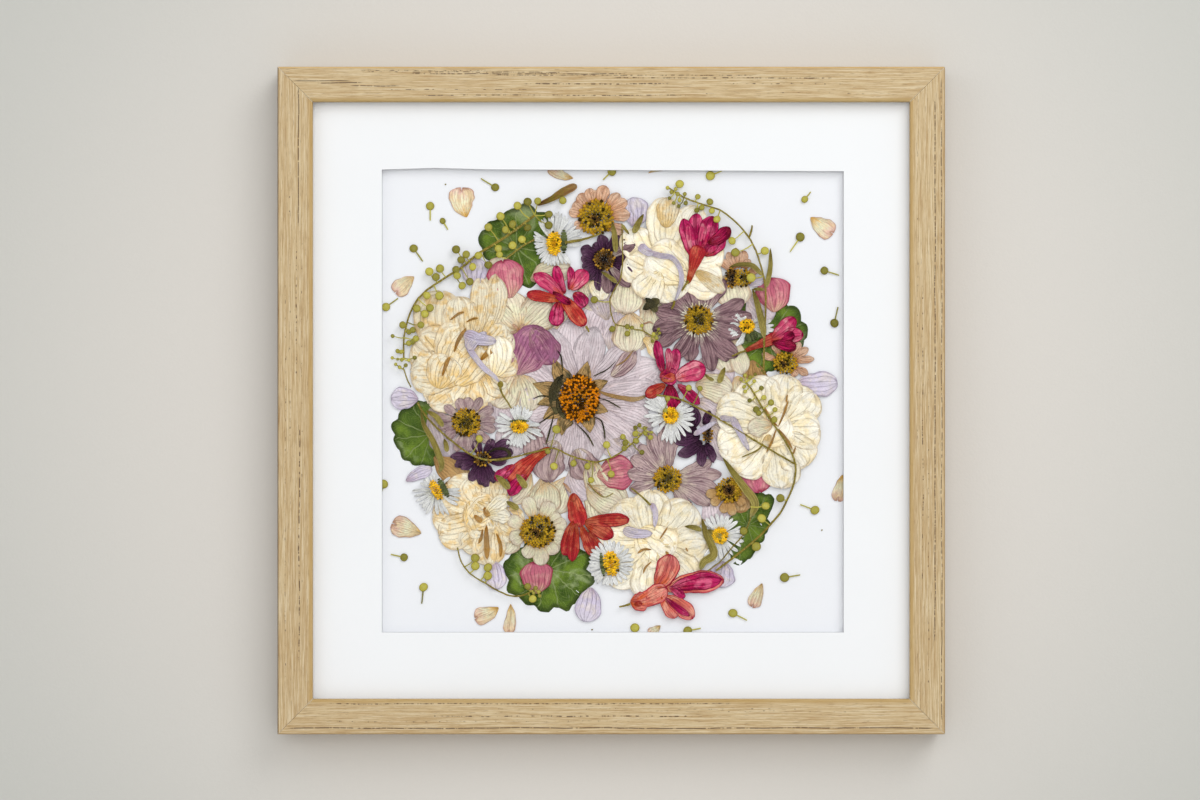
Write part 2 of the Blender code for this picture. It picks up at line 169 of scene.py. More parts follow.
class Bench:
    """Adds nodes to one node tree, with their values and links."""

    def __init__(self, tree):
        self.tree = tree

    def add(self, kind, values=None, **choices):
        made = self.tree.nodes.new("ShaderNode" + kind)
        for key, value in choices.items():
            setattr(made, key, value)
        for key, value in (values or {}).items():
            self.put(made.inputs[key], value)
        return made

    def put(self, socket, value):
        if isinstance(value, bpy.types.NodeSocket):
            self.tree.links.new(value, socket)
        elif socket.type == "RGBA":
            socket.default_value = (*tuple(value)[:3], 1.0)
        else:
            socket.default_value = value

    def maths(self, operation, *values, clamp=False):
        made = self.add("Math", dict(enumerate(values)), operation=operation, use_clamp=clamp)
        return made.outputs[0]

    def spot(self):
        """Where on the piece a point is, in metres."""
        return self.add("TexCoord").outputs["Object"]

    def times(self, first, second):
        return self.maths("MULTIPLY", first, second)

    def scaled(self, value, by, more):
        return self.maths("MULTIPLY_ADD", value, by, more)

    def less(self, first, second):
        return self.maths("SUBTRACT", first, second)

    def plus(self, first, second):
        return self.maths("ADD", first, second)

    def size(self, value):
        return self.maths("ABSOLUTE", value)

    def lit(self, body, light):
        """A colour made lighter or darker by a value."""
        return self.mix(1.0, body, self.combine(light, light, light), "MULTIPLY")

    def mix(self, factor, first, second, blend="MIX"):
        made = self.add("Mix", data_type="RGBA", blend_type=blend)
        for index, value in ((0, factor), (6, first), (7, second)):
            self.put(made.inputs[index], value)
        return made.outputs[2]

    def noise(self, vector, scale, detail=3.0, roughness=0.55, distortion=0.0):
        made = self.add("TexNoise", {
            "Vector": vector, "Scale": scale, "Detail": detail, "Roughness": roughness,
            "Distortion": distortion,
        })
        return made.outputs[0]

    def step(self, value, low, high, start=0.0, end=1.0):
        made = self.add("MapRange", {
            "Value": value, "From Min": low, "From Max": high, "To Min": start, "To Max": end,
        }, interpolation_type="SMOOTHSTEP")
        return made.outputs[0]

    def combine(self, x, y, z):
        return self.add("CombineXYZ", {"X": x, "Y": y, "Z": z}).outputs[0]

    def split(self, vector):
        return self.add("SeparateXYZ", {"Vector": vector}).outputs

    def group(self, tree, values):
        made = self.tree.nodes.new("ShaderNodeGroup")
        made.node_tree = tree
        for key, value in values.items():
            self.put(made.inputs[key], value)
        return made.outputs


KINDS = {"colour": "NodeSocketColor", "value": "NodeSocketFloat", "vector": "NodeSocketVector"}


def new_group(name, takes, gives):
    """An empty node group with named sockets: its bench, what comes in and where it ends."""
    tree = bpy.data.node_groups.new(name, "ShaderNodeTree")
    for key, kind in takes.items():
        tree.interface.new_socket(key, in_out="INPUT", socket_type=KINDS[kind])
    for key, kind in gives.items():
        tree.interface.new_socket(key, in_out="OUTPUT", socket_type=KINDS[kind])
    start = tree.nodes.new("NodeGroupInput").outputs
    end = tree.nodes.new("NodeGroupOutput").inputs
    return Bench(tree), start, end


def petal_pattern():
    """Streaks, veins, bruises and edges of a dried petal, laid along it."""
    if "petal pattern" in bpy.data.node_groups:
        return bpy.data.node_groups["petal pattern"]
    bench, start, end = new_group("petal pattern", {
        "Place": "vector", "Spot": "vector", "Tone": "value", "Base": "colour",
        "Middle": "colour", "Tip": "colour", "Vein": "colour", "Edge": "colour",
        "Bruise": "colour", "Count": "value", "Veins": "value", "Edges": "value",
        "Bruises": "value",
    }, {"Colour": "colour", "Height": "value"})
    u, v, _ = bench.split(start["Place"])
    across = bench.size(bench.scaled(u, 2.0, -1.0))
    seed = bench.times(start["Tone"], 37.0)
    lane = bench.times(u, start["Count"])
    streaks = bench.noise(bench.combine(lane, bench.times(v, 1.6), seed), 1.0, 3.0)
    fine = bench.noise(
        bench.combine(bench.times(lane, 4.0), bench.times(v, 4.0), seed),
        1.0, 2.0)
    cloud = bench.noise(start["Spot"], 190.0, 4.0, 0.6)
    speckle = bench.noise(start["Spot"], 1100.0, 2.0, 0.6)
    wander = bench.scaled(streaks, 1.4, -0.7)
    wave = bench.maths("SINE", bench.times(bench.plus(lane, wander), math.pi))
    thread = bench.step(bench.size(wave), 0.0, 0.3, 1.0, 0.0)
    fade = bench.step(v, 0.2, 1.0, 1.0, 0.45)
    thread = bench.times(thread, fade)
    reach = bench.plus(v, bench.scaled(streaks, 0.9, -0.45))
    body = bench.mix(bench.step(reach, 0.0, 0.42), start["Base"], start["Middle"])
    body = bench.mix(bench.step(reach, 0.45, 1.0), body, start["Tip"])
    bruised = bench.times(bench.step(cloud, 0.46, 0.62), start["Bruises"])
    body = bench.mix(bruised, body, start["Bruise"])
    streaked = bench.times(bench.step(streaks, 0.46, 0.64), start["Veins"])
    body = bench.mix(bench.times(streaked, 0.8), body, start["Vein"])
    thin = bench.times(bench.step(fine, 0.5, 0.66), start["Veins"])
    body = bench.mix(bench.times(thin, 0.6), body, start["Vein"])
    body = bench.mix(bench.times(thread, start["Veins"]), body, start["Vein"])
    rim = bench.maths("MAXIMUM", across, bench.scaled(v, 1.9, -0.9))
    rim = bench.plus(rim, bench.scaled(cloud, 0.3, -0.15))
    rim = bench.times(bench.step(rim, 0.82, 0.98), start["Edges"])
    body = bench.mix(rim, body, start["Edge"])
    light = bench.scaled(start["Tone"], 0.2, 0.92)
    light = bench.scaled(bench.less(fine, 0.5), 0.9, light)
    light = bench.scaled(bench.less(speckle, 0.5), 0.45, light)
    bench.put(end["Colour"], bench.lit(body, light))
    height = bench.scaled(thread, 0.8, streaks)
    height = bench.scaled(cloud, 1.6, height)
    bench.put(end["Height"], bench.scaled(fine, 0.6, height))
    return bench.tree


def new_material(name):
    made = bpy.data.materials.new(name)
    made.use_nodes = True
    made.node_tree.nodes.clear()
    bench = Bench(made.node_tree)
    shader = bench.add("BsdfPrincipled")
    ending = bench.add("OutputMaterial", {"Surface": shader.outputs[0]})
    return made, bench, shader, ending


def painted(bench, shader, body, rough, shine=0.5):
    """Gives a shader its colour, how rough it is and how much it shines."""
    bench.put(shader.inputs["Base Color"], body)
    bench.put(shader.inputs["Roughness"], rough)
    bench.put(shader.inputs["Specular IOR Level"], shine)


def raised(bench, shader, height, strength, distance):
    bump = bench.add("Bump", {"Height": height, "Strength": strength, "Distance": distance})
    bench.put(shader.inputs["Normal"], bump.outputs[0])


# How much darker veins and edges are than the colours below.
LINE_SHADE = 0.78
# The first entry is the petal's own colour in the settings. base, tip, vein, edge and bruise are
# screen colours, then comes how strong the last three are, the number of streaks, and alpha.
PETAL_FINISHES = {
    # name: (colour, base, tip, vein, edge, bruise, veins, edges, bruises, count, alpha)
    "cream": ("cream", (246, 210, 140), (255, 248, 226), (250, 204, 132), (236, 190, 130),
              (244, 206, 136), 0.45, 0.35, 0.8, 7, 1.0),
    "ivory": ("ivory", (252, 230, 178), (255, 250, 236), (252, 222, 170), (244, 208, 156),
              (250, 232, 188), 0.2, 0.4, 0.75, 5, 1.0),
    "gold": ("tan", (206, 140, 40), (226, 172, 92), (196, 120, 46), (230, 176, 100),
             (214, 156, 60), 0.6, 0.4, 0.6, 5, 0.85),
    "bract": ("tan", (88, 84, 62), (224, 186, 120), (84, 70, 46), (124, 98, 62), (110, 98, 68),
              0.75, 0.6, 0.8, 6, 1.0),
    "tan": ("tan", (206, 162, 100), (228, 200, 156), (206, 150, 90), (190, 136, 84),
            (206, 164, 110), 0.6, 0.75, 0.9, 9, 1.0),
    "white": ("white", (232, 232, 214), (255, 255, 252), (238, 238, 240), (240, 238, 240),
              (240, 238, 232), 0.5, 0.5, 0.4, 3, 1.0),
    "peach": ("peach", (206, 142, 90), (240, 208, 182), (206, 136, 98), (206, 142, 112),
              (216, 162, 124), 0.7, 0.6, 0.6, 4, 1.0),
    "plum": ("plum", (44, 20, 38), (128, 96, 118), (40, 18, 38), (64, 38, 66), (66, 42, 58),
             0.75, 0.5, 0.6, 4, 1.0),
    "mauve": ("mauve", (212, 196, 182), (172, 142, 142), (116, 78, 90), (112, 78, 92),
              (150, 118, 124), 0.9, 0.75, 0.75, 6, 1.0),
    "pale_mauve": ("pale_mauve", (226, 208, 190), (210, 186, 178), (162, 120, 130),
                   (160, 122, 134), (184, 156, 160), 0.75, 0.7, 0.7, 6, 0.95),
    "crimson": ("crimson", (168, 56, 48), (206, 48, 110), (132, 4, 52), (160, 4, 70),
                (234, 110, 146), 0.9, 1.0, 0.8, 3, 1.0),
    "pink": ("pink", (200, 84, 66), (206, 50, 104), (190, 20, 84), (186, 4, 78),
             (238, 160, 170), 0.9, 1.0, 0.85, 3, 1.0),
    "dark_red": ("crimson", (110, 24, 28), (110, 4, 42), (84, 0, 28), (110, 0, 40),
                 (160, 44, 64), 0.75, 0.8, 0.5, 5, 1.0),
    "salmon": ("salmon", (216, 96, 46), (236, 150, 140), (210, 60, 70), (220, 34, 76),
               (242, 176, 150), 0.8, 1.0, 0.8, 6, 1.0),
    "orange": ("rust", (180, 74, 30), (196, 50, 60), (170, 34, 40), (196, 20, 58),
               (226, 130, 96), 0.8, 0.95, 0.7, 5, 1.0),
    "cosmos": ("cosmos", (224, 198, 196), (250, 238, 242), (228, 206, 216), (226, 204, 214),
               (226, 206, 210), 0.3, 0.5, 0.5, 12, 0.8),
    "hydrangea": ("hydrangea", (226, 186, 178), (182, 124, 156), (166, 90, 128), (170, 94, 130),
                  (206, 152, 164), 0.75, 0.6, 0.7, 12, 0.95),
    "rose": ("rose", (236, 190, 164), (216, 118, 144), (216, 100, 124), (206, 60, 98),
             (236, 170, 168), 0.6, 0.85, 0.75, 9, 0.96),
    "beige": ("beige", (246, 208, 156), (255, 246, 224), (250, 218, 178), (240, 190, 150),
              (250, 230, 208), 0.4, 0.65, 0.6, 10, 0.9),
    "pale_lilac": ("cosmos", (234, 212, 196), (244, 230, 238), (232, 210, 218), (216, 190, 204),
                   (228, 208, 212), 0.3, 0.5, 0.6, 10, 0.84),
    "lilac": ("lilac", (216, 194, 210), (244, 236, 248), (214, 196, 232), (214, 196, 232),
              (248, 236, 230), 0.4, 0.6, 0.7, 5, 0.84),
    "loose_peach": ("beige", (250, 196, 96), (244, 200, 186), (250, 198, 128), (240, 172, 150),
                    (254, 232, 190), 0.5, 0.7, 0.85, 9, 0.98),
    "olive": ("olive", (126, 112, 50), (186, 172, 100), (126, 108, 46), (220, 208, 140),
              (146, 134, 64), 0.7, 0.6, 0.6, 5, 1.0),
    "calyx": ("calyx", (52, 50, 36), (116, 108, 72), (50, 46, 30), (110, 98, 66), (84, 74, 48),
              0.6, 0.5, 0.6, 5, 1.0),
    "brown": ("twig", (112, 76, 44), (170, 132, 86), (112, 72, 38), (206, 176, 124),
              (150, 104, 60), 0.55, 0.4, 0.6, 6, 1.0),
}


def petal_material(name):
    """One petal finish, from its own colour and how it changes along and across the petal."""
    if name in bpy.data.materials:
        return bpy.data.materials[name]
    own, base, tip, vein, edge, bruise, veins, edges, bruises, count, alpha = PETAL_FINISHES[name]
    own_colour = getattr(settings().petals, own)
    made, bench, shader, _ = new_material(name)
    place = bench.add("UVMap", uv_map="UVMap").outputs[0]
    spot = bench.spot()
    tone = bench.add("Attribute", attribute_name="petal_tone").outputs["Fac"]
    pattern = bench.group(petal_pattern(), {
        "Place": place, "Spot": spot, "Tone": tone, "Base": srgb(*base),
        "Middle": own_colour, "Tip": srgb(*tip),
        "Vein": srgb(*vein, share=LINE_SHADE), "Edge": srgb(*edge, share=LINE_SHADE),
        "Bruise": srgb(*bruise), "Count": float(count), "Veins": veins, "Edges": edges,
        "Bruises": bruises,
    })
    painted(bench, shader, pattern["Colour"], 0.8, 0.06)
    shader.inputs["Alpha"].default_value = alpha
    raised(bench, shader, pattern["Height"], 0.9, 0.0006)
    return made


def leaf_material():
    """Waxy green leaf with veins that spread from its stalk, and pale patches of painted sheen."""
    if "geranium leaf" in bpy.data.materials:
        return bpy.data.materials["geranium leaf"]
    made, bench, shader, _ = new_material("geranium leaf")
    u, v, _ = bench.split(bench.add("UVMap", uv_map="UVMap").outputs[0])
    spot = bench.spot()
    green = settings().petals.leaf
    wander = bench.noise(spot, 160.0, 2.0)
    cloud = bench.noise(spot, 95.0, 4.0, 0.6)
    fine = bench.noise(spot, 1300.0, 3.0, 0.6)
    lane = bench.scaled(wander, 0.5, bench.times(u, LEAF_RIBS))
    cell = bench.size(bench.less(bench.maths("FRACT", lane), 0.5))
    away = bench.times(cell, v)
    rib = bench.step(away, 0.006, 0.04, 1.0, 0.0)
    branch = bench.times(bench.scaled(cell, -0.75, v), 9.0)
    branch = bench.scaled(wander, 0.8, branch)
    branch = bench.size(bench.maths("SINE", bench.times(branch, math.pi)))
    branch = bench.step(branch, 0.0, 0.3, 1.0, 0.0)
    body = bench.mix(bench.step(cloud, 0.4, 0.66), green, srgb(112, 138, 44))
    body = bench.mix(bench.step(cloud, 0.3, 0.42, 0.6, 0.0), body, srgb(40, 66, 18))
    body = bench.mix(bench.times(branch, 0.6), body, srgb(142, 156, 82))
    body = bench.mix(bench.times(rib, 0.8), body, srgb(142, 156, 98))
    # Painted sheen: pale patches of painted highlight, spread by noise over the leaf's green.
    painted_sheen = bench.step(bench.noise(spot, 62.0, 3.0, 0.6, 0.8), 0.52, 0.68, 0.0, 0.55)
    body = bench.mix(painted_sheen, body, srgb(180, 192, 144))
    rim = bench.step(bench.scaled(cloud, 0.16, v), 0.92, 1.05, 0.0, 0.75)
    body = bench.mix(rim, body, srgb(44, 58, 22))
    light = bench.scaled(fine, 0.9, 0.55)
    body = bench.lit(body, light)
    painted(bench, shader, body, 0.42, 0.15)
    height = bench.scaled(rib, 1.4, bench.times(branch, 0.8))
    height = bench.scaled(fine, 0.9, height)
    height = bench.scaled(cloud, 2.0, height)
    raised(bench, shader, height, 0.6, 0.0003)
    return made


def ringed_material(name, centre, middle, outside, rough=0.7, grain=2600.0):
    """A round thing whose colour changes from its middle outwards, by its ring attribute."""
    if name in bpy.data.materials:
        return bpy.data.materials[name]
    made, bench, shader, _ = new_material(name)
    ring = bench.add("Attribute", attribute_name="ring").outputs["Fac"]
    tone = bench.add("Attribute", attribute_name="petal_tone").outputs["Fac"]
    spot = bench.spot()
    fine = bench.noise(spot, grain, 3.0, 0.6)
    cloud = bench.noise(spot, grain / 5, 3.0, 0.6)
    ring = bench.scaled(bench.less(cloud, 0.5), 0.4, ring)
    body = bench.mix(bench.step(ring, 0.22, 0.55), centre, middle)
    body = bench.mix(bench.step(ring, 0.72, 0.98), body, outside)
    light = bench.scaled(tone, 0.75, 0.4)
    light = bench.times(light, bench.scaled(fine, 0.7, 0.85))
    body = bench.lit(body, light)
    painted(bench, shader, body, rough, 0.08)
    raised(bench, shader, bench.plus(fine, cloud), 0.5, 0.0002)
    return made


def twig_material():
    if "olive twig" in bpy.data.materials:
        return bpy.data.materials["olive twig"]
    made, bench, shader, _ = new_material("olive twig")
    spot = bench.spot()
    cloud = bench.noise(spot, 240.0, 4.0, 0.65)
    fine = bench.noise(spot, 1500.0, 3.0, 0.6)
    body = bench.mix(bench.step(cloud, 0.35, 0.62), srgb(112, 98, 34), settings().petals.twig)
    body = bench.mix(bench.step(fine, 0.5, 0.75, 0.0, 0.7), body, srgb(204, 190, 120))
    body = bench.mix(bench.step(cloud, 0.62, 0.75, 0.0, 0.6), body, srgb(120, 74, 36))
    painted(bench, shader, body, 0.6, 0.1)
    raised(bench, shader, bench.plus(fine, cloud), 0.6, 0.0003)
    return made


def oak_grain():
    """Long pale and dark grain of oak, with pores. Along, across and deep are in metres."""
    if "oak grain" in bpy.data.node_groups:
        return bpy.data.node_groups["oak grain"]
    bench, start, end = new_group("oak grain", {
        "Along": "value", "Across": "value", "Deep": "value", "Seed": "value", "Wood": "colour",
        "Dark": "colour", "Pale": "colour",
    }, {"Colour": "colour", "Height": "value"})

    def stretched(along, across, detail=3.0, rough=0.55):
        vector = bench.combine(
            bench.times(start["Along"], along),
            bench.times(start["Across"], across),
            bench.scaled(start["Deep"], across, start["Seed"]))
        return bench.noise(vector, 1.0, detail, rough)

    broad = stretched(7.0, 120.0)
    bands = stretched(36.0, 1300.0, 4.0, 0.7)
    threads = stretched(80.0, 2300.0, 3.0, 0.7)
    pores = stretched(170.0, 3000.0, 2.0, 0.6)
    body = bench.mix(bench.step(broad, 0.4, 0.6, 0.3, 0.0), start["Wood"], start["Dark"])
    body = bench.mix(bench.step(bands, 0.5, 0.62, 0.0, 0.75), body, start["Pale"])
    body = bench.mix(bench.step(bands, 0.36, 0.5, 0.8, 0.0), body, start["Dark"])
    body = bench.mix(bench.step(threads, 0.36, 0.5, 0.6, 0.0), body, srgb(166, 134, 90))
    body = bench.mix(bench.step(threads, 0.56, 0.68, 0.0, 0.5), body, start["Pale"])
    body = bench.mix(bench.step(pores, 0.3, 0.38, 0.6, 0.0), body, srgb(130, 102, 76))
    bench.put(end["Colour"], body)
    height = bench.scaled(threads, 0.8, bench.step(pores, 0.26, 0.42))
    bench.put(end["Height"], bench.scaled(bands, 0.8, height))
    return bench.tree


def wood_line():
    """One broken split or band along a rail, at its distance from the outer edge."""
    if "wood line" in bpy.data.node_groups:
        return bpy.data.node_groups["wood line"]
    bench, start, end = new_group("wood line", {
        "Along": "value", "Across": "value", "Line": "value", "Width": "value", "Seed": "value",
        "From": "value", "To": "value", "Broken": "value",
    }, {"Mask": "value"})
    sway = bench.noise(bench.combine(
        bench.times(start["Along"], 30.0), start["Seed"], 0.0), 1.0, 3.0)
    swell = bench.noise(bench.combine(
        bench.times(start["Along"], 420.0), start["Seed"], 4.0), 1.0, 3.0, 0.65)
    line = bench.scaled(bench.less(sway, 0.5), 0.0016, start["Line"])
    off = bench.size(bench.less(start["Across"], line))
    gone = bench.scaled(start["Broken"], 0.5, 0.16)
    here = bench.step(bench.less(swell, gone), 0.0, 0.16)
    wide = bench.times(start["Width"], bench.times(here, 0.34))
    mask = bench.maths("DIVIDE", off, bench.maths("MAXIMUM", wide, 0.00001))
    mask = bench.times(bench.step(mask, 0.4, 1.1, 1.0, 0.0), here)
    begun = bench.step(bench.less(start["Along"], start["From"]), 0.0, 0.004)
    left = bench.step(bench.less(start["To"], start["Along"]), 0.0, 0.004)
    inside = bench.times(begun, left)
    bench.put(end["Mask"], bench.times(mask, inside))
    return bench.tree


# side: splits as (mm from the outer edge, width, from, to, how broken)
WOOD_LINES = {
    "top": ((1.9, 0.6, -125, -60, 0.55), (2.6, 0.7, -124, -20, 0.5), (3.4, 0.8, -100, 10, 0.45),
            (4.3, 0.7, -60, 70, 0.5), (5.6, 0.9, 0, 110, 0.5), (7.2, 0.7, -158, -128, 0.3),
            (8.0, 0.8, -146, -122, 0.35), (9.4, 0.7, -130, -104, 0.35), (11.3, 0.6, -112, -40, 0.6),
            (8.5, 1.0, -44, 30, 0.5), (8.4, 0.9, 50, 120, 0.62), (14.2, 0.8, -95, 40, 0.55),
            (13.2, 0.6, 40, 140, 0.75)),
    "left": ((10.4, 0.8, 85, 156, 0.3), (10.8, 0.9, -130, -10, 0.5), (6.2, 0.7, -20, 110, 0.72),
             (9.4, 0.9, 10, 80, 0.6), (12.2, 0.6, -100, 130, 0.75), (4.0, 0.6, -150, 60, 0.7)),
    "bottom": ((15.2, 0.9, -140, 60, 0.5), (9.0, 1.0, -90, 60, 0.6), (3.1, 0.9, -160, 160, 0.3),
               (11.4, 0.7, 20, 130, 0.7), (6.4, 0.7, -140, 20, 0.7), (12.6, 0.6, -60, 100, 0.72)),
    "right": ((5.0, 0.9, -120, 150, 0.42), (1.7, 0.7, -160, 160, 0.4), (11.0, 0.8, -90, 60, 0.65),
              (8.2, 0.7, -150, 20, 0.7), (13.6, 0.6, -20, 150, 0.72)),
}


def oak_material(side):
    """The oak of one rail, with its grain along the rail, its own splits, and painted shade and
    highlight along its edges.
    """
    low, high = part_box(RAILS[side])
    flat = side in ("top", "bottom")
    colours = settings().moulding
    made, bench, shader, _ = new_material(f"oak {side}")
    x, y, z = bench.split(bench.spot())
    if flat:
        along = bench.less(x, MIDDLE_X)
        out = bench.less(high.z, z) if side == "top" else bench.less(z, low.z)
    else:
        along = bench.less(z, MIDDLE_Z)
        out = bench.less(high.x, x) if side == "right" else bench.less(x, low.x)
    seed = float(3 + 7 * sorted(RAILS).index(side))
    grain = bench.group(oak_grain(), {
        "Along": along, "Across": out, "Deep": y, "Seed": seed, "Wood": colours.oak,
        "Dark": colours.oak_dark, "Pale": colours.oak_pale,
    })
    body = grain["Colour"]
    height = bench.times(grain["Height"], 0.5)
    for number, (line, width, first, last, broken) in enumerate(WOOD_LINES[side]):
        mask = bench.group(wood_line(), {
            "Along": along, "Across": out, "Line": line * MM, "Width": width * MM,
            "Seed": seed * 3 + number * 1.7, "From": first * MM, "To": last * MM,
            "Broken": broken,
        })["Mask"]
        body = bench.mix(bench.times(mask, 0.85), body, colours.crack)
        height = bench.scaled(mask, -2.5, height)
    width = min(high.x - low.x, high.z - low.z)
    # Painted shade along the inner edge by the window, darker on the top rail, whose edge faces down.
    inner = bench.step(out, width * 0.86, width * 0.95, 0.0, 0.7)
    body = bench.mix(inner, body, srgb(188, 154, 92) if side != "top" else srgb(176, 146, 86))
    # Painted shade and highlight on the outer edge: dark on the left rail, light on the top rail,
    # between on the others.
    outer = {"left": srgb(96, 74, 48), "top": srgb(212, 170, 96)}.get(side, srgb(166, 132, 84))
    body = bench.mix(bench.step(out, 0.0002, 0.0010, 0.75, 0.0), body, outer)
    mitre = bench.less((high.x - low.x if flat else high.z - low.z) / 2,
                        bench.plus(bench.size(along), out))
    joint = bench.times(bench.step(bench.size(mitre), 0.0, 0.0006, 0.45, 0.0),
                        bench.step(out, width * 0.5, width * 0.9))
    body = bench.mix(joint, body, srgb(234, 218, 184))
    painted(bench, shader, body, bench.step(grain["Height"], 0.4, 1.6, 0.72, 0.55), 0.3)
    raised(bench, shader, height, 0.5, 0.00025)
    return made


def card_material(name, own, weave=900.0, rough=0.9, depth=0.00006, edge=None):
    """Paper, card or board: its colour with a faint fibre, and painted shade on faces that turn sideways
    when an edge colour is given.
    """
    made, bench, shader, _ = new_material(name)
    spot = bench.spot()
    fibre = bench.noise(spot, weave, 4.0, 0.7)
    cloud = bench.noise(spot, 14.0, 2.0)
    light = bench.scaled(fibre, 0.03, 0.985)
    light = bench.scaled(bench.less(cloud, 0.5), 0.03, light)
    body = bench.lit(own, light)
    # Painted shade: faces that turn sideways, such as a mat's cut edges, take the darker edge colour.
    if edge:
        _, y, _ = bench.split(bench.add("NewGeometry").outputs["Normal"])
        body = bench.mix(bench.step(bench.size(y), 0.3, 0.8, 1.0, 0.0), body, edge)
    painted(bench, shader, body, rough, 0.2)
    raised(bench, shader, fibre, 0.25, depth)
    return made


def hardboard_material():
    made, bench, shader, _ = new_material("backing hardboard")
    spot = bench.spot()
    fibre = bench.noise(spot, 700.0, 5.0, 0.75)
    flecks = bench.noise(spot, 2400.0, 2.0, 0.6)
    body = bench.mix(bench.step(fibre, 0.35, 0.65), srgb(98, 70, 44), settings().moulding.hardboard)
    body = bench.mix(bench.step(flecks, 0.62, 0.72, 0.0, 0.6), body, srgb(160, 124, 84))
    painted(bench, shader, body, 0.82)
    raised(bench, shader, fibre, 0.5, 0.0002)
    return made


def steel_material(name, rough):
    """Zinc plated steel, dulled and rubbed in places."""
    made, bench, shader, _ = new_material(name)
    spot = bench.spot()
    cloud = bench.noise(spot, 260.0, 4.0, 0.6)
    scratch = bench.noise(bench.add("Mapping", {
        "Vector": spot, "Scale": (300.0, 900.0, 2600.0)}).outputs[0], 1.0, 2.0)
    steel = settings().moulding.steel
    body = bench.mix(bench.step(cloud, 0.4, 0.7), steel, srgb(132, 132, 134))
    body = bench.mix(bench.step(scratch, 0.6, 0.75, 0.0, 0.5), body, srgb(212, 213, 216))
    painted(bench, shader, body, bench.step(cloud, 0.3, 0.7, rough, rough + 0.2))
    shader.inputs["Metallic"].default_value = 1.0
    raised(bench, shader, scratch, 0.3, 0.00005)
    return made


def glass_material():
    """Clear picture glass that lets the light through to the flowers without a dark shadow."""
    made, bench, shader, ending = new_material("clear glass")
    shader.inputs["Transmission Weight"].default_value = 1.0
    shader.inputs["IOR"].default_value = 1.1
    spot = bench.spot()
    haze = bench.noise(spot, 8.0, 3.0)
    tint = bench.mix(haze, srgb(254, 255, 254), srgb(250, 254, 252))
    painted(bench, shader, tint, 0.0)
    path = bench.add("LightPath")
    through = bench.maths("MAXIMUM", path.outputs["Is Shadow Ray"], path.outputs["Is Diffuse Ray"])
    through = bench.maths("MAXIMUM", through, path.outputs["Is Glossy Ray"])
    clear = bench.add("BsdfTransparent")
    mixed = bench.add("MixShader", {0: through, 1: shader.outputs[0], 2: clear.outputs[0]})
    bench.put(ending.inputs["Surface"], mixed.outputs[0])
    return made


def wall_material():
    """Painted wall, with painted shade that makes it a little darker away from the frame, as a lamp's
    light falls off. It isn't seen from behind.
    """
    made, bench, shader, ending = new_material("wall paint")
    spot = bench.spot()
    x, _, z = bench.split(spot)
    # Painted shade: the wall grows darker with its distance from the frame's middle.
    far = bench.maths("POWER", bench.less(x, MIDDLE_X), 2.0)
    up = bench.less(z, MIDDLE_Z)
    far = bench.scaled(up, up, far)
    wall = settings().stage.wall
    body = bench.mix(bench.step(bench.maths("SQRT", far), 0.16, 0.42, 0.0, 0.85), wall,
                     srgb(194, 196, 190))
    speck = bench.noise(spot, 700.0, 4.0, 0.7)
    light = bench.scaled(speck, 0.04, 0.98)
    body = bench.lit(body, light)
    painted(bench, shader, body, 0.9, 0.1)
    raised(bench, shader, speck, 0.3, 0.0003)
    clear = bench.add("BsdfTransparent")
    behind = bench.add("NewGeometry").outputs["Backfacing"]
    mixed = bench.add("MixShader", {0: behind, 1: shader.outputs[0], 2: clear.outputs[0]})
    bench.put(ending.inputs["Surface"], mixed.outputs[0])
    return made


# ---------------------------------------------------------------- shaping tools


def alone(piece):
    """Nothing but this piece is selected."""
    bpy.ops.object.select_all(action="DESELECT")
    piece.select_set(True)
    bpy.context.view_layer.objects.active = piece


def even_path(points, steps):
    """Points and directions at even steps along a smooth curve through `points`, in mm."""
    ends = [points[0], *points, points[-1]]
    dense = []
    for at in range(len(points) - 1):
        p0, p1, p2, p3 = (Vector(p) for p in ends[at:at + 4])
        for step in range(12):
            t = step / 12
            a = 2 * p1 + (p2 - p0) * t + (2 * p0 - 5 * p1 + 4 * p2 - p3) * t * t
            dense.append((a + (3 * p1 - p0 - 3 * p2 + p3) * t ** 3) / 2)
    dense.append(Vector(points[-1]))
    lengths = [0.0]
    for first, second in zip(dense, dense[1:]):
        lengths.append(lengths[-1] + (second - first).length)
    path = []
    at = 0
    for step in range(steps + 1):
        want = lengths[-1] * step / steps
        while at < len(dense) - 2 and lengths[at + 1] < want:
            at += 1
        gap = max(lengths[at + 1] - lengths[at], 1e-9)
        path.append(dense[at].lerp(dense[at + 1], (want - lengths[at]) / gap))
    directions = []
    for step in range(steps + 1):
        along = path[min(step + 1, steps)] - path[max(step - 1, 0)]
        directions.append(along.normalized() if along.length > 1e-9 else Vector((0, 1)))
    return path, directions


def between(values, place):
    """The value at `place`, 0 to 1, in an even row of values, smoothly."""
    at = place * (len(values) - 1)
    low = min(int(at), len(values) - 2)
    t = at - low
    t = t * t * (3 - 2 * t) * 0.6 + t * 0.4
    return values[low] + (values[low + 1] - values[low]) * t


LEAF_SPOKES = 96
LEAF_RIBS = 11.0
# How many faces across and along a flat grid has, by its size.
BLANKS = {
    "small": (4, 12), "middle": (8, 20), "large": (14, 34), "round": (LEAF_SPOKES, 16),
}
PATH_STEPS = 48
STALK_STEP = 3.0
STALK_FLAT = 0.7
GOLDEN_ANGLE = 2.39996
SMOOTH_UNDER = math.radians(60)
# In metres: the gap under the first layer, and what each petal lies above the one before it.
FIRST_GAP = 0.00014
PETAL_LIFT = 0.000016
MOST_LIFTS = 30


def keep_mesh(made, name):
    """Keeps an object's mesh under this name, to be copied, and removes the object."""
    made.data.name = name
    made.data.use_fake_user = True
    bpy.data.objects.remove(made)


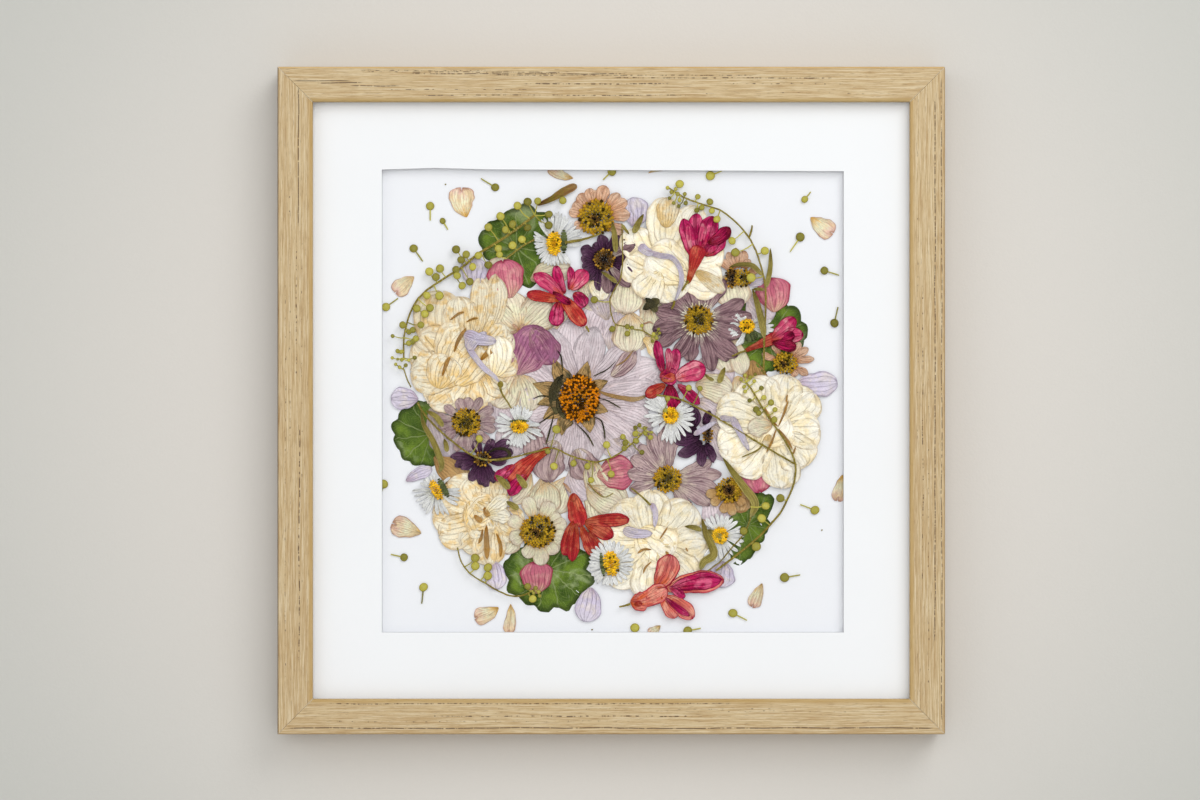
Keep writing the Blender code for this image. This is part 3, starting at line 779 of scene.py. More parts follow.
def blank(size):
    """A flat grid that every petal or leaf of this size starts from."""
    name = f"blank {size}"
    if name not in bpy.data.meshes:
        across, along = BLANKS[size]
        bpy.ops.object.select_all(action="DESELECT")
        bpy.ops.mesh.primitive_grid_add(x_subdivisions=across, y_subdivisions=along, size=1.0)
        made = bpy.context.object
        for key in ("petal_tone", "ring"):
            made.data.attributes.new(key, "FLOAT", "POINT")
        keep_mesh(made, name)
    return bpy.data.meshes[name]


def fill_attribute(mesh, key, values):
    made = mesh.attributes.get(key) or mesh.attributes.new(key, "FLOAT", "POINT")
    made.data.foreach_set("value", values)


def depth_of(layer, more=0.0):
    """How far forward a layer lies, in metres."""
    return SHEET_FRONT - FIRST_GAP - layer * settings().press.layer - more


PETAL_SHAPES = {
    "petal": (0.36, 0.82, 1.0, 0.82), "point": (0.95, 1.0, 0.8, 0.45, 0.05),
    "funnel": (0.2, 0.34, 0.62, 1.0), "fan": (0.16, 0.7, 1.0, 0.95), "tube": (1.0, 0.8, 0.7, 0.45),
}


class Specimen:
    """One dried flower, leaf or twig: its petals are shaped one by one and then joined."""

    def __init__(self, name, slot, layer, *replaces, wall=None):
        self.name = name
        self.slot = slot
        self.layer = layer
        self.replaces = replaces
        self.wall = wall
        self.petals = []
        self.chance = random.Random(name)

    def copy_of(self, mesh):
        made = bpy.data.objects.new(self.name, mesh.copy())
        bpy.context.scene.collection.objects.link(made)
        self.petals.append(made)
        return made.data

    def place(self, x, z, rise=0.0):
        lift = PETAL_LIFT * min(len(self.petals), MOST_LIFTS)
        return Vector((MIDDLE_X + x * MM, depth_of(self.layer, lift + rise * MM),
                       MIDDLE_Z + z * MM))

    def petal(self, line, widths, tip=0.35, base=0.1, size="middle", frill=1.0, notch=0.0,
              crumple=1.0, lobes=0):
        """A petal from the first point of `line` to its last, this wide along the way."""
        mesh = self.copy_of(blank(size))
        tone = self.chance.random()
        seed = self.chance.uniform(0, 90)
        path, directions = even_path(line, PATH_STEPS)
        whole = sum((b - a).length for a, b in zip(path, path[1:]))
        press = settings().press
        widest = max(widths)
        rough = press.frill * frill * min(0.16, 0.9 / max(widest, 1.0))
        for vert in mesh.vertices:
            u, v = vert.co.x + 0.5, vert.co.y + 0.5
            a = 2 * u - 1
            wave = noise.noise(Vector((a * 2.2 + seed, v * 1.5, seed)))
            reach = 1 - notch * math.exp(-(a / 0.28) ** 2) * v
            reach += rough * 0.8 * wave * v
            if lobes:
                reach -= 0.05 * v * (1 - abs(math.cos(lobes * math.pi * a / 2)))
            at = min(max(v * reach, 0.0), 1.0) * PATH_STEPS
            low = min(int(at), PATH_STEPS - 1)
            here = path[low].lerp(path[low + 1], at - low)
            way = directions[low].lerp(directions[low + 1], at - low)
            half = between(widths, v) / 2
            if v > 1 - tip:
                half *= math.sqrt(max(0.0, 1 - ((v - 1 + tip) / tip) ** 2) * 0.985 + 0.015)
            if v < base:
                half *= math.sqrt(max(0.0, 1 - ((base - v) / base) ** 2) * 0.95 + 0.05)
            side = 1 if a > 0 else -1
            ragged = noise.noise(Vector((v * whole / 3.2, side * 5.0 + seed, 2.0)))
            half *= 1 + rough * 1.6 * ragged * abs(a)
            x = here.x + way.y * half * a
            z = here.y - way.x * half * a
            up = noise.noise(Vector((a * widest / 5 + seed, v * whole / 9, 7.0)))
            up += 0.5 * noise.noise(Vector((a * widest / 2 + seed, v * whole / 16, 3.0)))
            spot = self.place(x, z)
            spot.y -= press.crumple * crumple * (up + 0.25 * a * a)
            vert.co = spot
        count = len(mesh.vertices)
        fill_attribute(mesh, "petal_tone", [tone] * count)
        return mesh

    def rows(self, rows, shape="petal", **choices):
        """Petals as three or more points along each, in mm, and then its greatest width."""
        for *points, width in rows:
            self.petal(tuple(zip(points[0::2], points[1::2])),
                       [width * part for part in PETAL_SHAPES[shape]], **choices)

    def stems(self, rows, **choices):
        """Stalks as the points along each, in mm, and then its first and last width."""
        for *points, first, last in rows:
            self.stem(tuple(zip(points[0::2], points[1::2])), (first, last), **choices)

    def ring(self, middle, tips, width, inner, **choices):
        """One petal to each tip around a flower's middle, in that order."""
        for x, z in tips:
            away = Vector((x - middle[0], z - middle[1]))
            start = Vector(middle) + away.normalized() * min(inner, away.length * 0.6)
            bend = Vector((-away.y, away.x)) * self.chance.uniform(-0.05, 0.05)
            half = (start + Vector((x, z))) / 2 + bend
            wide = width * self.chance.uniform(0.88, 1.12)
            self.petal(((start.x, start.y), (half.x, half.y), (x, z)),
                       (wide * 0.45, wide * 0.85, wide, wide * 0.82), **choices)

    def spread(self, middle, reach, count, width, inner, **choices):
        """Petals fanned evenly around a middle, with a little chance in each."""
        tips = []
        for number in range(count):
            turn = 360.0 * (number + 0.5) / count
            turn = math.radians(turn + self.chance.uniform(-0.25, 0.25) * 360.0 / count)
            far = reach * self.chance.uniform(0.9, 1.05)
            tips.append((middle[0] + far * math.cos(turn), middle[1] + far * math.sin(turn)))
        self.ring(middle, tips, width, inner, **choices)

    def leaf(self, middle, outline, scallops=0, crumple=1.4):
        """A broad leaf: its outline, as seen from the point where the stalk joins it."""
        mesh = self.copy_of(blank("round"))
        corners = [Vector(point) - Vector(middle) for point in outline]
        seed = self.chance.uniform(0, 90)
        reaches = {}
        for vert in mesh.vertices:
            u, v = vert.co.x + 0.5, vert.co.y + 0.5
            key = round(u * LEAF_SPOKES) % LEAF_SPOKES
            turn = math.radians(-key * 360 / LEAF_SPOKES)
            if key not in reaches:
                reaches[key] = far_edge(corners, turn)
                bump = abs(math.sin(scallops * turn / 2)) if scallops else 0.0
                jag = noise.noise(Vector((math.cos(turn) * 5, math.sin(turn) * 5, seed)))
                reaches[key] *= 0.98 + 0.09 * bump + 0.04 * jag
            far = reaches[key] * v
            x = middle[0] + far * math.cos(turn)
            z = middle[1] + far * math.sin(turn)
            up = noise.noise(Vector((x / 7 + seed, z / 7, 1.0)))
            up += 0.5 * noise.noise(Vector((x / 2.5 + seed, z / 2.5, 5.0)))
            rib = abs((u * LEAF_RIBS) % 1 - 0.5) * v
            spot = self.place(x, z)
            spot.y -= settings().press.crumple * crumple * (up + max(0.0, 0.5 - rib * 12))
            vert.co = spot
        fill_attribute(mesh, "petal_tone", [0.5] * len(mesh.vertices))

    def stem(self, line, widths, wobble=0.5):
        """A round stalk, a little flattened by the press. Widths are spread evenly along it."""
        curve = bpy.data.curves.new(self.name, "CURVE")
        curve.dimensions = "3D"
        curve.bevel_depth = 1.0 * MM
        curve.bevel_resolution = 1
        curve.use_fill_caps = True
        whole = sum(math.dist(a, b) for a, b in zip(line, line[1:]))
        count = max(4, int(whole / STALK_STEP * 2.2))
        path, directions = even_path(line, count)
        spline = curve.splines.new("POLY")
        spline.points.add(count)
        seed = self.chance.uniform(0, 90)
        for number, (here, way) in enumerate(zip(path, directions)):
            sway = wobble * 0.3 * noise.noise(Vector((number * 0.8, seed, 0)))
            swell = 1 + 0.22 * noise.noise(Vector((number * 1.1, seed, 9)))
            spot = self.place(here.x + way.y * sway, here.y - way.x * sway)
            spline.points[number].co = (*spot, 1)
            spline.points[number].radius = between(widths, number / count) / 2 * swell
        made = bpy.data.objects.new(self.name, curve)
        bpy.context.scene.collection.objects.link(made)
        alone(made)
        bpy.ops.object.convert(target="MESH")
        made = bpy.context.object
        middle = depth_of(self.layer)
        for vert in made.data.vertices:
            vert.co.y = middle + (vert.co.y - middle) * STALK_FLAT
        count = len(made.data.vertices)
        fill_attribute(made.data, "petal_tone", [self.chance.random()] * count)
        fill_attribute(made.data, "ring", [0.5] * count)
        self.petals.append(made)

    def pip(self, x, z, wide, tall, thick, turn=0.0, ring=0.5, rise=0.0, sides=1, tone=None):
        """A small pressed ball."""
        mesh = self.copy_of(ball(sides))
        swing = math.radians(turn)
        tone = self.chance.random() if tone is None else tone
        for vert in mesh.vertices:
            dx, dz = vert.co.x * wide, vert.co.z * tall
            spot = self.place(x + dx * math.cos(swing) - dz * math.sin(swing),
                              z + dx * math.sin(swing) + dz * math.cos(swing), rise)
            spot.y += vert.co.y * thick * MM
            vert.co = spot
        fill_attribute(mesh, "petal_tone", [tone] * len(mesh.vertices))
        fill_attribute(mesh, "ring", [ring] * len(mesh.vertices))

    def disc(self, middle, wide, tall, count=90, thick=0.7, turn=0.0, dark=0.14):
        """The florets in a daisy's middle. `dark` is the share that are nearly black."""
        swing = math.radians(turn)
        size = math.sqrt(wide * tall / count) * 1.25
        for number in range(count):
            share_out = math.sqrt((number + 0.5) / count)
            angle = number * GOLDEN_ANGLE
            dx = wide * share_out * math.cos(angle)
            dz = tall * share_out * math.sin(angle)
            x = middle[0] + dx * math.cos(swing) - dz * math.sin(swing)
            z = middle[1] + dx * math.sin(swing) + dz * math.cos(swing)
            each = size * self.chance.uniform(0.8, 1.2)
            self.pip(x, z, each, each * 0.85, thick * self.chance.uniform(0.6, 1.0),
                     math.degrees(angle) + turn, share_out,
                     rise=thick * 0.4 * (1 - share_out * share_out),
                     tone=-0.4 if self.chance.random() < dark else self.chance.uniform(0.2, 1.0))

    def bud(self, x, z, radius, stalk=None):
        """A round flat bud with a rim, on its stalk."""
        mesh = self.copy_of(bud_blank())
        squeeze = self.chance.uniform(0.88, 1.06)
        swing = self.chance.uniform(0, math.tau)
        seed = self.chance.uniform(0, 90)
        rings = []
        for vert in mesh.vertices:
            out = math.hypot(vert.co.x, vert.co.z)
            rings.append(min(out, 1.0))
            angle = math.atan2(vert.co.z, vert.co.x)
            reach = radius * out * (1 + 0.05 * noise.noise(Vector((angle, seed, 0))))
            dx, dz = reach * math.cos(angle), reach * math.sin(angle) * squeeze
            spot = self.place(x + dx * math.cos(swing) - dz * math.sin(swing),
                              z + dx * math.sin(swing) + dz * math.cos(swing))
            pleat = 0.05 * math.sin(angle * 7 + seed) * out * out
            spot.y += (vert.co.y * 0.62 + pleat) * MM * min(1.0, radius / 1.6)
            vert.co = spot
        fill_attribute(mesh, "ring", rings)
        fill_attribute(mesh, "petal_tone", [self.chance.random()] * len(rings))
        if stalk:
            away = Vector((stalk[0] - x, stalk[1] - z)).normalized() * radius * 0.9
            self.stem(((x + away.x, z + away.y), stalk), (0.75, 0.7), wobble=0.3)

    def close(self, material):
        """Joins what was shaped, gives flat petals their wall and fits the piece to the frame."""
        bpy.ops.object.select_all(action="DESELECT")
        for petal in self.petals:
            petal.select_set(True)
        made = self.petals[0]
        bpy.context.view_layer.objects.active = made
        if len(self.petals) > 1:
            bpy.ops.object.join()
        made.name = self.name
        made.data.name = self.name
        if self.wall is not None:
            bpy.ops.object.mode_set(mode="EDIT")
            bpy.ops.mesh.select_all(action="SELECT")
            bpy.ops.mesh.remove_doubles(threshold=0.000001)
            bpy.ops.object.mode_set(mode="OBJECT")
            thick = made.modifiers.new("Wall", "SOLIDIFY")
            thick.thickness = self.wall
            thick.offset = -1.0
            bpy.ops.object.modifier_apply(modifier="Wall")
        bpy.ops.object.shade_smooth_by_angle(angle=SMOOTH_UNDER)
        made.data.materials.clear()
        made.data.materials.append(material)
        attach(made, "root")
        if self.replaces:
            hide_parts(*self.replaces)
        return made


def pressed(name, slot, layer, *replaces):
    """A specimen of flat petals with a wall of the petals' thickness."""
    return Specimen(name, slot, layer, *replaces, wall=settings().press.wall)


def lay(name, finish, slot, layer, rows, *replaces, **choices):
    """A piece of petals that share one finish, in rows as Specimen.rows takes them."""
    made = pressed(name, slot, layer, *replaces)
    made.rows(rows, **choices)
    made.close(petal_material(finish))


def crown(name, finish, slot, layer, middle, tips, width, inner, *replaces, **choices):
    """The petals around a daisy's middle, one to each tip. The tips are x, z, x, z and so on."""
    made = pressed(name, slot, layer, *replaces)
    made.ring(middle, tuple(zip(tips[0::2], tips[1::2])), width, inner, **choices)
    made.close(petal_material(finish))


def far_edge(corners, turn):
    """How far an outline reaches from its middle in one direction."""
    way = Vector((math.cos(turn), math.sin(turn)))
    best = 0.0
    for first, second in zip(corners, corners[1:] + corners[:1]):
        run = second - first
        cross = way.x * run.y - way.y * run.x
        if abs(cross) < 1e-9:
            continue
        far = (first.x * run.y - first.y * run.x) / cross
        along = (first.x * way.y - first.y * way.x) / cross
        if far > 0 and -1e-6 <= along <= 1 + 1e-6:
            best = max(best, far)
    return best


def ball(rounds):
    """The little ball that florets are pressed from."""
    name = f"blank ball {rounds}"
    if name not in bpy.data.meshes:
        bpy.ops.object.select_all(action="DESELECT")
        bpy.ops.mesh.primitive_ico_sphere_add(subdivisions=rounds, radius=1.0)
        keep_mesh(bpy.context.object, name)
    return bpy.data.meshes[name]


def bud_blank():
    """A round bud pressed flat: a raised rim, a groove and a low middle."""
    name = "blank bud"
    if name not in bpy.data.meshes:
        bpy.ops.object.select_all(action="DESELECT")
        bpy.ops.mesh.primitive_uv_sphere_add(
            segments=20, ring_count=14, radius=1.0, rotation=(math.pi / 2, 0, 0))
        bpy.ops.object.transform_apply(location=True, rotation=True, scale=True)
        made = bpy.context.object
        for vert in made.data.vertices:
            out = math.hypot(vert.co.x, vert.co.z)
            groove = math.exp(-((out - 0.72) / 0.09) ** 2)
            vert.co.y *= 1 - 0.45 * groove
            if vert.co.y < 0 and out < 0.6:
                vert.co.y *= 0.8 + 0.2 * out
        keep_mesh(made, name)
    return bpy.data.meshes[name]


# ---------------------------------------------------------------- the dried flowers
# All places below are in mm from the middle of the frame: right, then up.


def press_leaves():
    green = leaf_material()
    leaves = (
        ("upper_left", (-47, 76), ((-65, 76.5), (-64.8, 81), (-64, 85), (-60, 88), (-57.5, 89),
         (-52, 93), (-49, 95), (-45, 97), (-41, 96.5), (-36, 94), (-28, 90), (-24, 80),
         (-28, 66), (-34, 60), (-41, 57), (-48, 60), (-56, 65), (-61, 70)), 12),
        ("left", (-90, -17), ((-94, 0), (-100, -3), (-105, -7), (-108, -11), (-108.5, -15),
         (-107, -20), (-105.5, -24.5), (-102, -29), (-98, -31.5), (-92, -32), (-82, -32),
         (-80, -28), (-78, -16), (-86, -3)), 14),
        ("right", (78, 30), ((69, 14), (76, 13), (85, 18), (93, 25), (97, 31), (96, 38), (90, 47),
         (80, 50), (71, 52), (66, 48), (62, 38), (62, 24)), 12),
        ("lower_right", (68, -62), ((70, -47), (79, -46.5), (80.5, -50), (79.5, -55), (77, -59),
         (79, -61), (77, -66), (75.5, -69), (71, -75), (69.5, -78.5), (64, -81), (60, -79),
         (57, -70), (58, -56)), 12),
        ("bottom", (-31, -84), ((-53, -80), (-50, -95), (-42, -100), (-40, -101), (-36, -103.5),
         (-31, -104.5), (-26, -102), (-22, -104), (-18, -101), (-17, -97), (-12, -94.5),
         (-9.5, -90), (-10, -87), (-12, -84), (-11, -76), (-25, -71), (-42, -71)), 13),
    )
    for name, middle, outline, scallops in leaves:
        made = pressed(f"leaf_{name}", "geranium_leaf", 0, f"geranium_leaf_{name}")
        made.leaf(middle, outline, scallops)
        made.close(green)


def press_cosmos():
    lay("cosmos_petals", "cosmos", "cosmos_petal", 1, (
        (-17, 4, -20, 22, -20, 41, 20), (-15, 5, -12, 20, -8, 37, 16), (-12, 5, 2, 15, 13, 28, 19),
        (-10, 3, 7, 11, 25, 18, 18), (-10, 1, 7, 3, 27, 2, 18), (-10, -3, 6, -8, 21, -14, 18),
        (-12, -5, -1, -15, 11, -27, 20), (-16, -6, -12, -18, -8, -31, 17),
        (-18, -6, -20, -20, -23, -35, 18), (-20, -4, -28, -14, -35, -22, 17),
        (-23, 0, -34, -1, -46, -3, 19), (-23, 3, -35, 7, -46, 12, 18), (-22, 5, -32, 16, -38, 27, 20),
        (-18, 5, -27, 22, -30, 36, 17),
    ), "centre_cosmos", tip=0.3, size="large", lobes=3, crumple=1.4)
    lay("cosmos_mauve_petals", "pale_mauve", "cosmos_petal", 2, (
        (-27, -20, -31, -30, -31, -41, 17), (-17, -24, -14, -32, -10, -39, 16),
        (-40, -12, -38, -20, -37, -31, 13), (0, 12, 6, 17, 12, 25, 9)
    ), size="large", lobes=3, crumple=1.4)
    lay("cosmos_bracts", "bract", "cosmos_petal", 3, (
        (-26, 4, -32, 6, -39, 8.5, 9), (-22, 9, -26, 14, -28.5, 21, 9),
        (-15, 9, -13, 14, -11.8, 19.5, 8), (-9, 6, -6, 8, -1.5, 9.8, 6.5),
        (-9, -3, -6, -4, -1.5, -5.5, 6.5), (-12, -8, -11, -12, -10.5, -16, 7.5),
        (-21, -8, -24, -12, -24.5, -17.5, 8), (-25, -4, -29, -6, -34, -9, 8),
        (-25, 0, -30, 0, -37, -2, 7)
    ), shape="point", tip=0.05, frill=0.4)
    lay("cosmos_rusty_lines", "calyx", "cosmos_petal", 4, (
        (-27, 25, -25, 22, -24, 14, 0.8), (2.2, 19.5, -2, 15.5, -9, 12, 0.6),
        (-7, 1.2, -2, 0, 5, -4, 0.7), (-9, -8, -5, -10, -3.5, -15, -3, -19.5, 0.8),
        (-18, -11, -12, -17, -8.5, -23, 0.8), (-37, -12, -33, -9.5, -28, -6, 0.8),
        (-28.5, -7, -30, -13, -32.5, -22, 0.9), (-39, 0.7, -35, 2.3, -30, 1.8, 0.7)
    ), tip=0.1, size="small", frill=0.2, crumple=0.4)
    lay("cosmos_fold", "tan", "cosmos_petal", 4, (
        (-7, 5, -2, 3, 5, 1.4, 12, 0.6, 18, 2.5, 2.4), (2, 17, 7, 20, 11, 25, 0.9)
    ), tip=0.3)
    lay("cosmos_calyx", "calyx", "cosmos_petal", 4, (
        (-26, 12, -29, 4, -27, -7, 4.4), (-24, 13, -26, 9, -26, 4, 3), (-27, 1, -26, -4, -23, -9, 2.4)
    ), tip=0.3)
    disc = Specimen("cosmos_disc", "cosmos_petal", 3)
    disc.disc((-15.7, 1), 10.0, 12.0, count=310, thick=0.9, dark=0.4)
    disc.close(ringed_material("cosmos disc", srgb(176, 112, 10), srgb(214, 130, 12),
                               srgb(216, 136, 20)))


# finish: the petals under the flowers, as points along each in mm and its width
UNDER_PETALS = {
    "beige": (
        (2, 66, 4, 54, 4, 42, 20), (20, 54, 22, 42, 22, 30, 18), (10, 44, 10, 34, 9, 24, 20),
        (-14, 62, -11, 54, -7, 45, 13), (-32, 34, -28, 44, -30, 54, 16),
        (-8, -44, 0, -50, 8, -54, 18), (-10, -42, -6, -52, -3, -62, 16),
        (2, -50, 8, -58, 12, -66, 16), (-34, -38, -33, -48, -36, -58, 18),
        (-22, -38, -25, -47, -28, -56, 16), (-40, -36, -46, -44, -52, -50, 14),
        (56, 34, 58, 24, 60, 14, 18), (62, 12, 66, 4, 70, -4, 16), (-60, 52, -56, 62, -50, 70, 16),
        (40, -60, 46, -66, 52, -74, 16), (-44, -62, -50, -68, -54, -76, 14),
        (-40, 60, -30, 64, -20, 66, 14), (30, 66, 30, 58, 32, 48, 16),
        (-12, -64, -6, -70, -2, -78, 14), (56, 62, 60, 56, 62, 46, 18),
    ),
    "pale_lilac": (
        (-10, 28, -7, 38, -3, 48, 18), (0, 24, 2, 34, 2, 44, 14), (-30, 26, -26, 36, -22, 46, 16),
        (40, 16, 50, 14, 60, 8, 20), (42, 0, 50, -6, 58, -12, 20), (24, -4, 32, -10, 40, -14, 18),
        (50, -12, 56, -20, 60, -30, 18), (14, 14, 24, 10, 34, 4, 20), (-2, 40, -4, 48, -8, 56, 14),
        (-52, -10, -50, -18, -48, -28, 18), (-60, 2, -56, -6, -52, -14, 16),
        (-46, 4, -50, -4, -54, -12, 16), (0, -20, 8, -26, 14, -34, 18),
        (-90, -4, -84, -16, -80, -28, 16), (68, 52, 74, 46, 80, 40, 16),
        (48, -44, 52, -52, 54, -62, 16), (-20, -34, -16, -42, -10, -48, 16),
    ),
    "tan": (
        (-88, -28, -80, -34, -72, -42, 15), (70, 20, 72, 10, 76, 2, 14),
        (-66, -34, -60, -42, -56, -52, 14), (62, -36, 64, -46, 64, -56, 14),
        (-44, 62, -52, 58, -60, 56, 12), (12, 66, 6, 76, 2, 84, 12),
    ),
}


def press_florets():
    """The flat mauve and beige florets that fill the gaps."""
    for finish, rows in UNDER_PETALS.items():
        lay(f"{finish}_petals_under", finish, "hydrangea_petal", 0.4, rows, base=0.3, size="large",
            crumple=0.8)
    lay("hydrangea_mauve_floret", "hydrangea", "hydrangea_petal", 3, (
        (-47, 13, -41, 24, -35, 37, 22), (-40, 36, -34, 28, -29, 18, 15)
    ), "mauve_hydrangea_floret", base=0.3, size="large", crumple=1.4)
    lay("hydrangea_beige_florets", "beige", "hydrangea_petal", 2, (
        (-46, 36, -50, 44, -53, 54, 19), (-45, 35, -38, 42, -30, 49, 20),
        (-47, 34, -55, 40, -62, 44, 16), (-46, 33, -54, 31, -61, 30, 13),
        (-48, 14, -53, 5, -58, -3, 18), (-46, 13, -43, 4, -41, -6, 18), (8, 63, 8, 54, 7, 43, 17),
        (9, 43, 9, 34, 9, 24, 17), (19, 47, 21, 40, 22, 31, 11), (-9, -30, -8, -37, -4, -45, 14),
        (-12, -43, -4, -49, 6, -53, 15), (-33, -41, -32, -48, -34, -55, 15), (42, 8, 50, 7, 60, 4, 15),
        (60, 30, 63, 22, 66, 13, 10),
    ), base=0.2, size="large", crumple=1.5)
    lay("hydrangea_heart", "peach", "hydrangea_petal", 4, (
        (-46, 35, -47.5, 36.5, -49, 38, 1.6), (-46, 35, -44.5, 37, -43, 38, 1.5),
        (-46, 35, -48, 34, -50, 34, 1.5), (16, 38, 19, 39, 21, 38, 0.9),
        (-12, -41, -9, -44, -4, -47.5, 0.9), (-24, -41, -22, -43, -20, -46, 1.6)
    ), size="small")
    lay("rose_petals", "rose", "hydrangea_petal", 3, (
        (-50, 51, -52, 60, -54, 70, 19), (81, 44, 81, 52, 79, 61, 18), (68, -24, 71, -34, 74, -46, 19),
        (-37, -96, -37, -88, -38, -80, 17)
    ), base=0.25, size="large", crumple=1.6, notch=0.05)
    lay("pink_floret_bottom", "rose", "hydrangea_petal", 3, ((-7, -37, 2, -36, 11.5, -35, 18),),
        base=0.3, size="large", frill=0.6)
    lay("lilac_florets", "lilac", "hydrangea_petal", 3, (
        (-68, 57, -68, 64, -68, 71, 14), (11, 86.5, 12, 93, 10.5, 101, 14),
        (92, 9, 101, 8, 112.5, 9, 13), (-96, 0.5, -102, 1, -109.5, 1, 11.5),
        (-102, -40, -96, -36.5, -89, -34, 6.5), (-50, -44, -50.5, -51, -46, -59, 4),
        (-58, -80, -57.5, -86, -57, -94, 11), (-10, -93, -11, -101, -13, -110, 13.5),
        (56, -80, 55, -86, 54, -93, 14), (68, 58, 71, 58.5, 76, 60, 5),
    ), base=0.2, size="large", crumple=1.3)
    lay("mauve_floret_centre", "mauve", "hydrangea_petal", 5, (
        (36, 39, 28, 37, 20.5, 35, 9), (33, 47, 28, 51, 23, 50, 9)
    ), size="large")


def press_carnations():
    lay("carnation_upper_left", "cream", "cream_petal", 3, (
        (-72, 20, -85, 36, -84, 55, 26), (-72, 20, -90, 26, -98, 30, 26),
        (-70, 18, -88, 14, -100, 14, 22), (-70, 14, -84, 4, -91, -2, 22),
        (-68, 12, -72, 2, -76, -4, 24), (-66, 14, -64, 4, -63, -1.5, 18), (-64, 16, -56, 9, -52, 9, 16),
        (-64, 20, -54, 20, -47.5, 22, 18), (-64, 24, -55, 30, -49, 33, 17),
        (-66, 26, -60, 34, -55, 40, 16), (-70, 28, -66, 42, -65, 61, 10),
        (-66, 28, -58, 44, -57, 63, 11), (-73, 24, -74, 38, -76, 52, 17),
        (-78, 8, -72, 18, -66, 28, 24), (-84, 18, -78, 28, -72, 36, 22), (-86, 6, -84, 14, -80, 22, 18),
    ), "cream_carnation_upper_left", tip=0.22, size="large", frill=2.0, crumple=1.5, lobes=4)
    lay("carnation_lower_left", "cream", "cream_petal", 3, (
        (-62, -56, -74, -48, -82, -41, 24), (-62, -56, -76, -57, -89, -57, 20),
        (-62, -57, -74, -64, -86, -67, 18), (-61, -58, -68, -68, -75, -73, 16),
        (-60, -58, -61, -70, -60, -82, 17), (-60, -57, -52, -64, -50, -71, 15),
        (-60, -56, -51, -60, -43, -62, 16), (-61, -55, -66, -44, -68, -37, 20),
        (-60, -55, -57, -45, -56, -39, 16), (-72, -62, -64, -56, -56, -52, 20),
        (-70, -50, -66, -58, -60, -66, 18),
    ), "cream_carnation_lower_left", tip=0.22, size="large", frill=2.0, crumple=1.5, lobes=4)
    lay("carnation_streaks", "gold", "cream_petal", 5, (
        (-72, 39, -69, 40.5, -66, 41, 1.2), (-68, -57, -66, -59, -64, -60, 3),
        (-62, -62, -62, -70, -61.5, -79, 3), (-57, -66, -55, -72, -55, -78, 2),
        (-64, -64, -64.5, -68, -66, -71, 1.6), (-63, -53, -62, -56, -60, -57, 3),
        (-65, 20, -62, 23, -58, 26, 3), (-78, 24, -76, 30, -72, 36, 2), (-84, 12, -82, 18, -80, 22, 2),
        (-80, 40, -76, 43, -73, 44, 1.4),
    ), size="small", crumple=0.6)
    lay("carnation_white_petals", "ivory", "cream_petal", 5, (
        (-62, -56, -57, -52, -51, -48, 8), (-61, -57, -56, -57, -50, -58, 8),
        (-58, 12, -55, 22, -57, 32, 13), (-10, 59, -7, 55, -2, 51, 8), (-4, 60, -3, 55, -5, 50, 5)
    ), crumple=1.4, frill=1.4, size="large")


def press_cream_flowers():
    flowers = (
        ("upper_right", "cream_flower_upper_right", (
            (24, 66, 14, 68, 8, 72, 22), (24, 68, 14, 78, 11, 86, 19), (27, 70, 26, 84, 27, 101, 18),
            (30, 70, 37, 83, 43, 97, 17), (32, 68, 43, 74, 55, 79, 24), (32, 64, 43, 61, 55, 57, 20),
            (28, 62, 30, 56, 33, 50, 18), (24, 64, 19, 57, 15, 51, 17), (38, 60, 29, 67, 18, 74, 24),
        )),
        ("right", "cream_flower_right", (
            (81, -12, 74, 0, 70, 12, 24), (83, -10, 85, 2, 87, 13, 20), (85, -11, 94, -3, 101, 4, 20),
            (86, -14, 95, -15, 104, -14, 20), (84, -17, 92, -26, 97, -33, 21),
            (81, -18, 84, -32, 85, -44, 20), (78, -17, 69, -28, 62, -36, 22),
            (77, -15, 64, -20, 53, -24, 21), (77, -12, 64, -7, 52, -5, 21),
            (74, -22, 80, -14, 88, -8, 24),
        )),
        ("bottom", "cream_flower_bottom", (
            (21, -70, 10, -60, 2, -51, 22), (21, -70, 20, -56, 20, -44, 20),
            (23, -70, 33, -60, 40, -51, 22), (24, -72, 36, -72, 48, -70, 21),
            (24, -74, 34, -84, 41, -92, 20), (21, -75, 20, -88, 20, -99, 22),
            (18, -73, 7, -82, -2, -91, 21), (18, -71, 5, -71, -8, -70, 20),
            (14, -64, 21, -71, 30, -78, 24),
        )),
    )
    for name, node, petals in flowers:
        lay(f"cream_petals_{name}", "ivory", "cream_petal", 6, petals, node, tip=0.24, size="large",
            frill=1.5, crumple=0.9, lobes=2)
    lay("cream_tan_petals", "cream", "cream_petal", 7, (
        (27, 86, 28, 94, 28, 101, 12), (42, 64, 50, 59, 56, 54, 8), (16, 31, 20, 28, 23, 21, 7),
        (79, -17, 77.5, -20, 77, -24, 5)
    ), size="large", frill=1.4, crumple=1.7)
    lay("cream_grey_petal", "beige", "cream_petal", 8, ((80, -12, 74, -13, 68, -15, 10),), tip=0.4,
        size="large")
    lay("cream_flower_streaks", "gold", "cream_petal", 8, (
        (83, -13, 79, -9, 76, -3, 1.4), (83, -13, 86, -6, 88, 0, 1.2), (83, -14, 87, -19, 90, -24, 1.3),
        (82, -14, 80, -20, 77, -26, 1.2), (87.5, 3, 87.2, 1, 87, -1, 1),
        (91.5, -23, 91, -25, 90, -27, 1), (20, -74, 16, -74, 13, -76, 1.4),
        (24, -69, 26, -66, 28, -63, 0.9), (37, -73, 37.5, -74, 38, -75, 0.8),
        (20, -80, 17, -83, 16, -86, 1), (27, -75, 28, -76, 28.5, -76.5, 1.4),
    ), size="small", crumple=0.5)


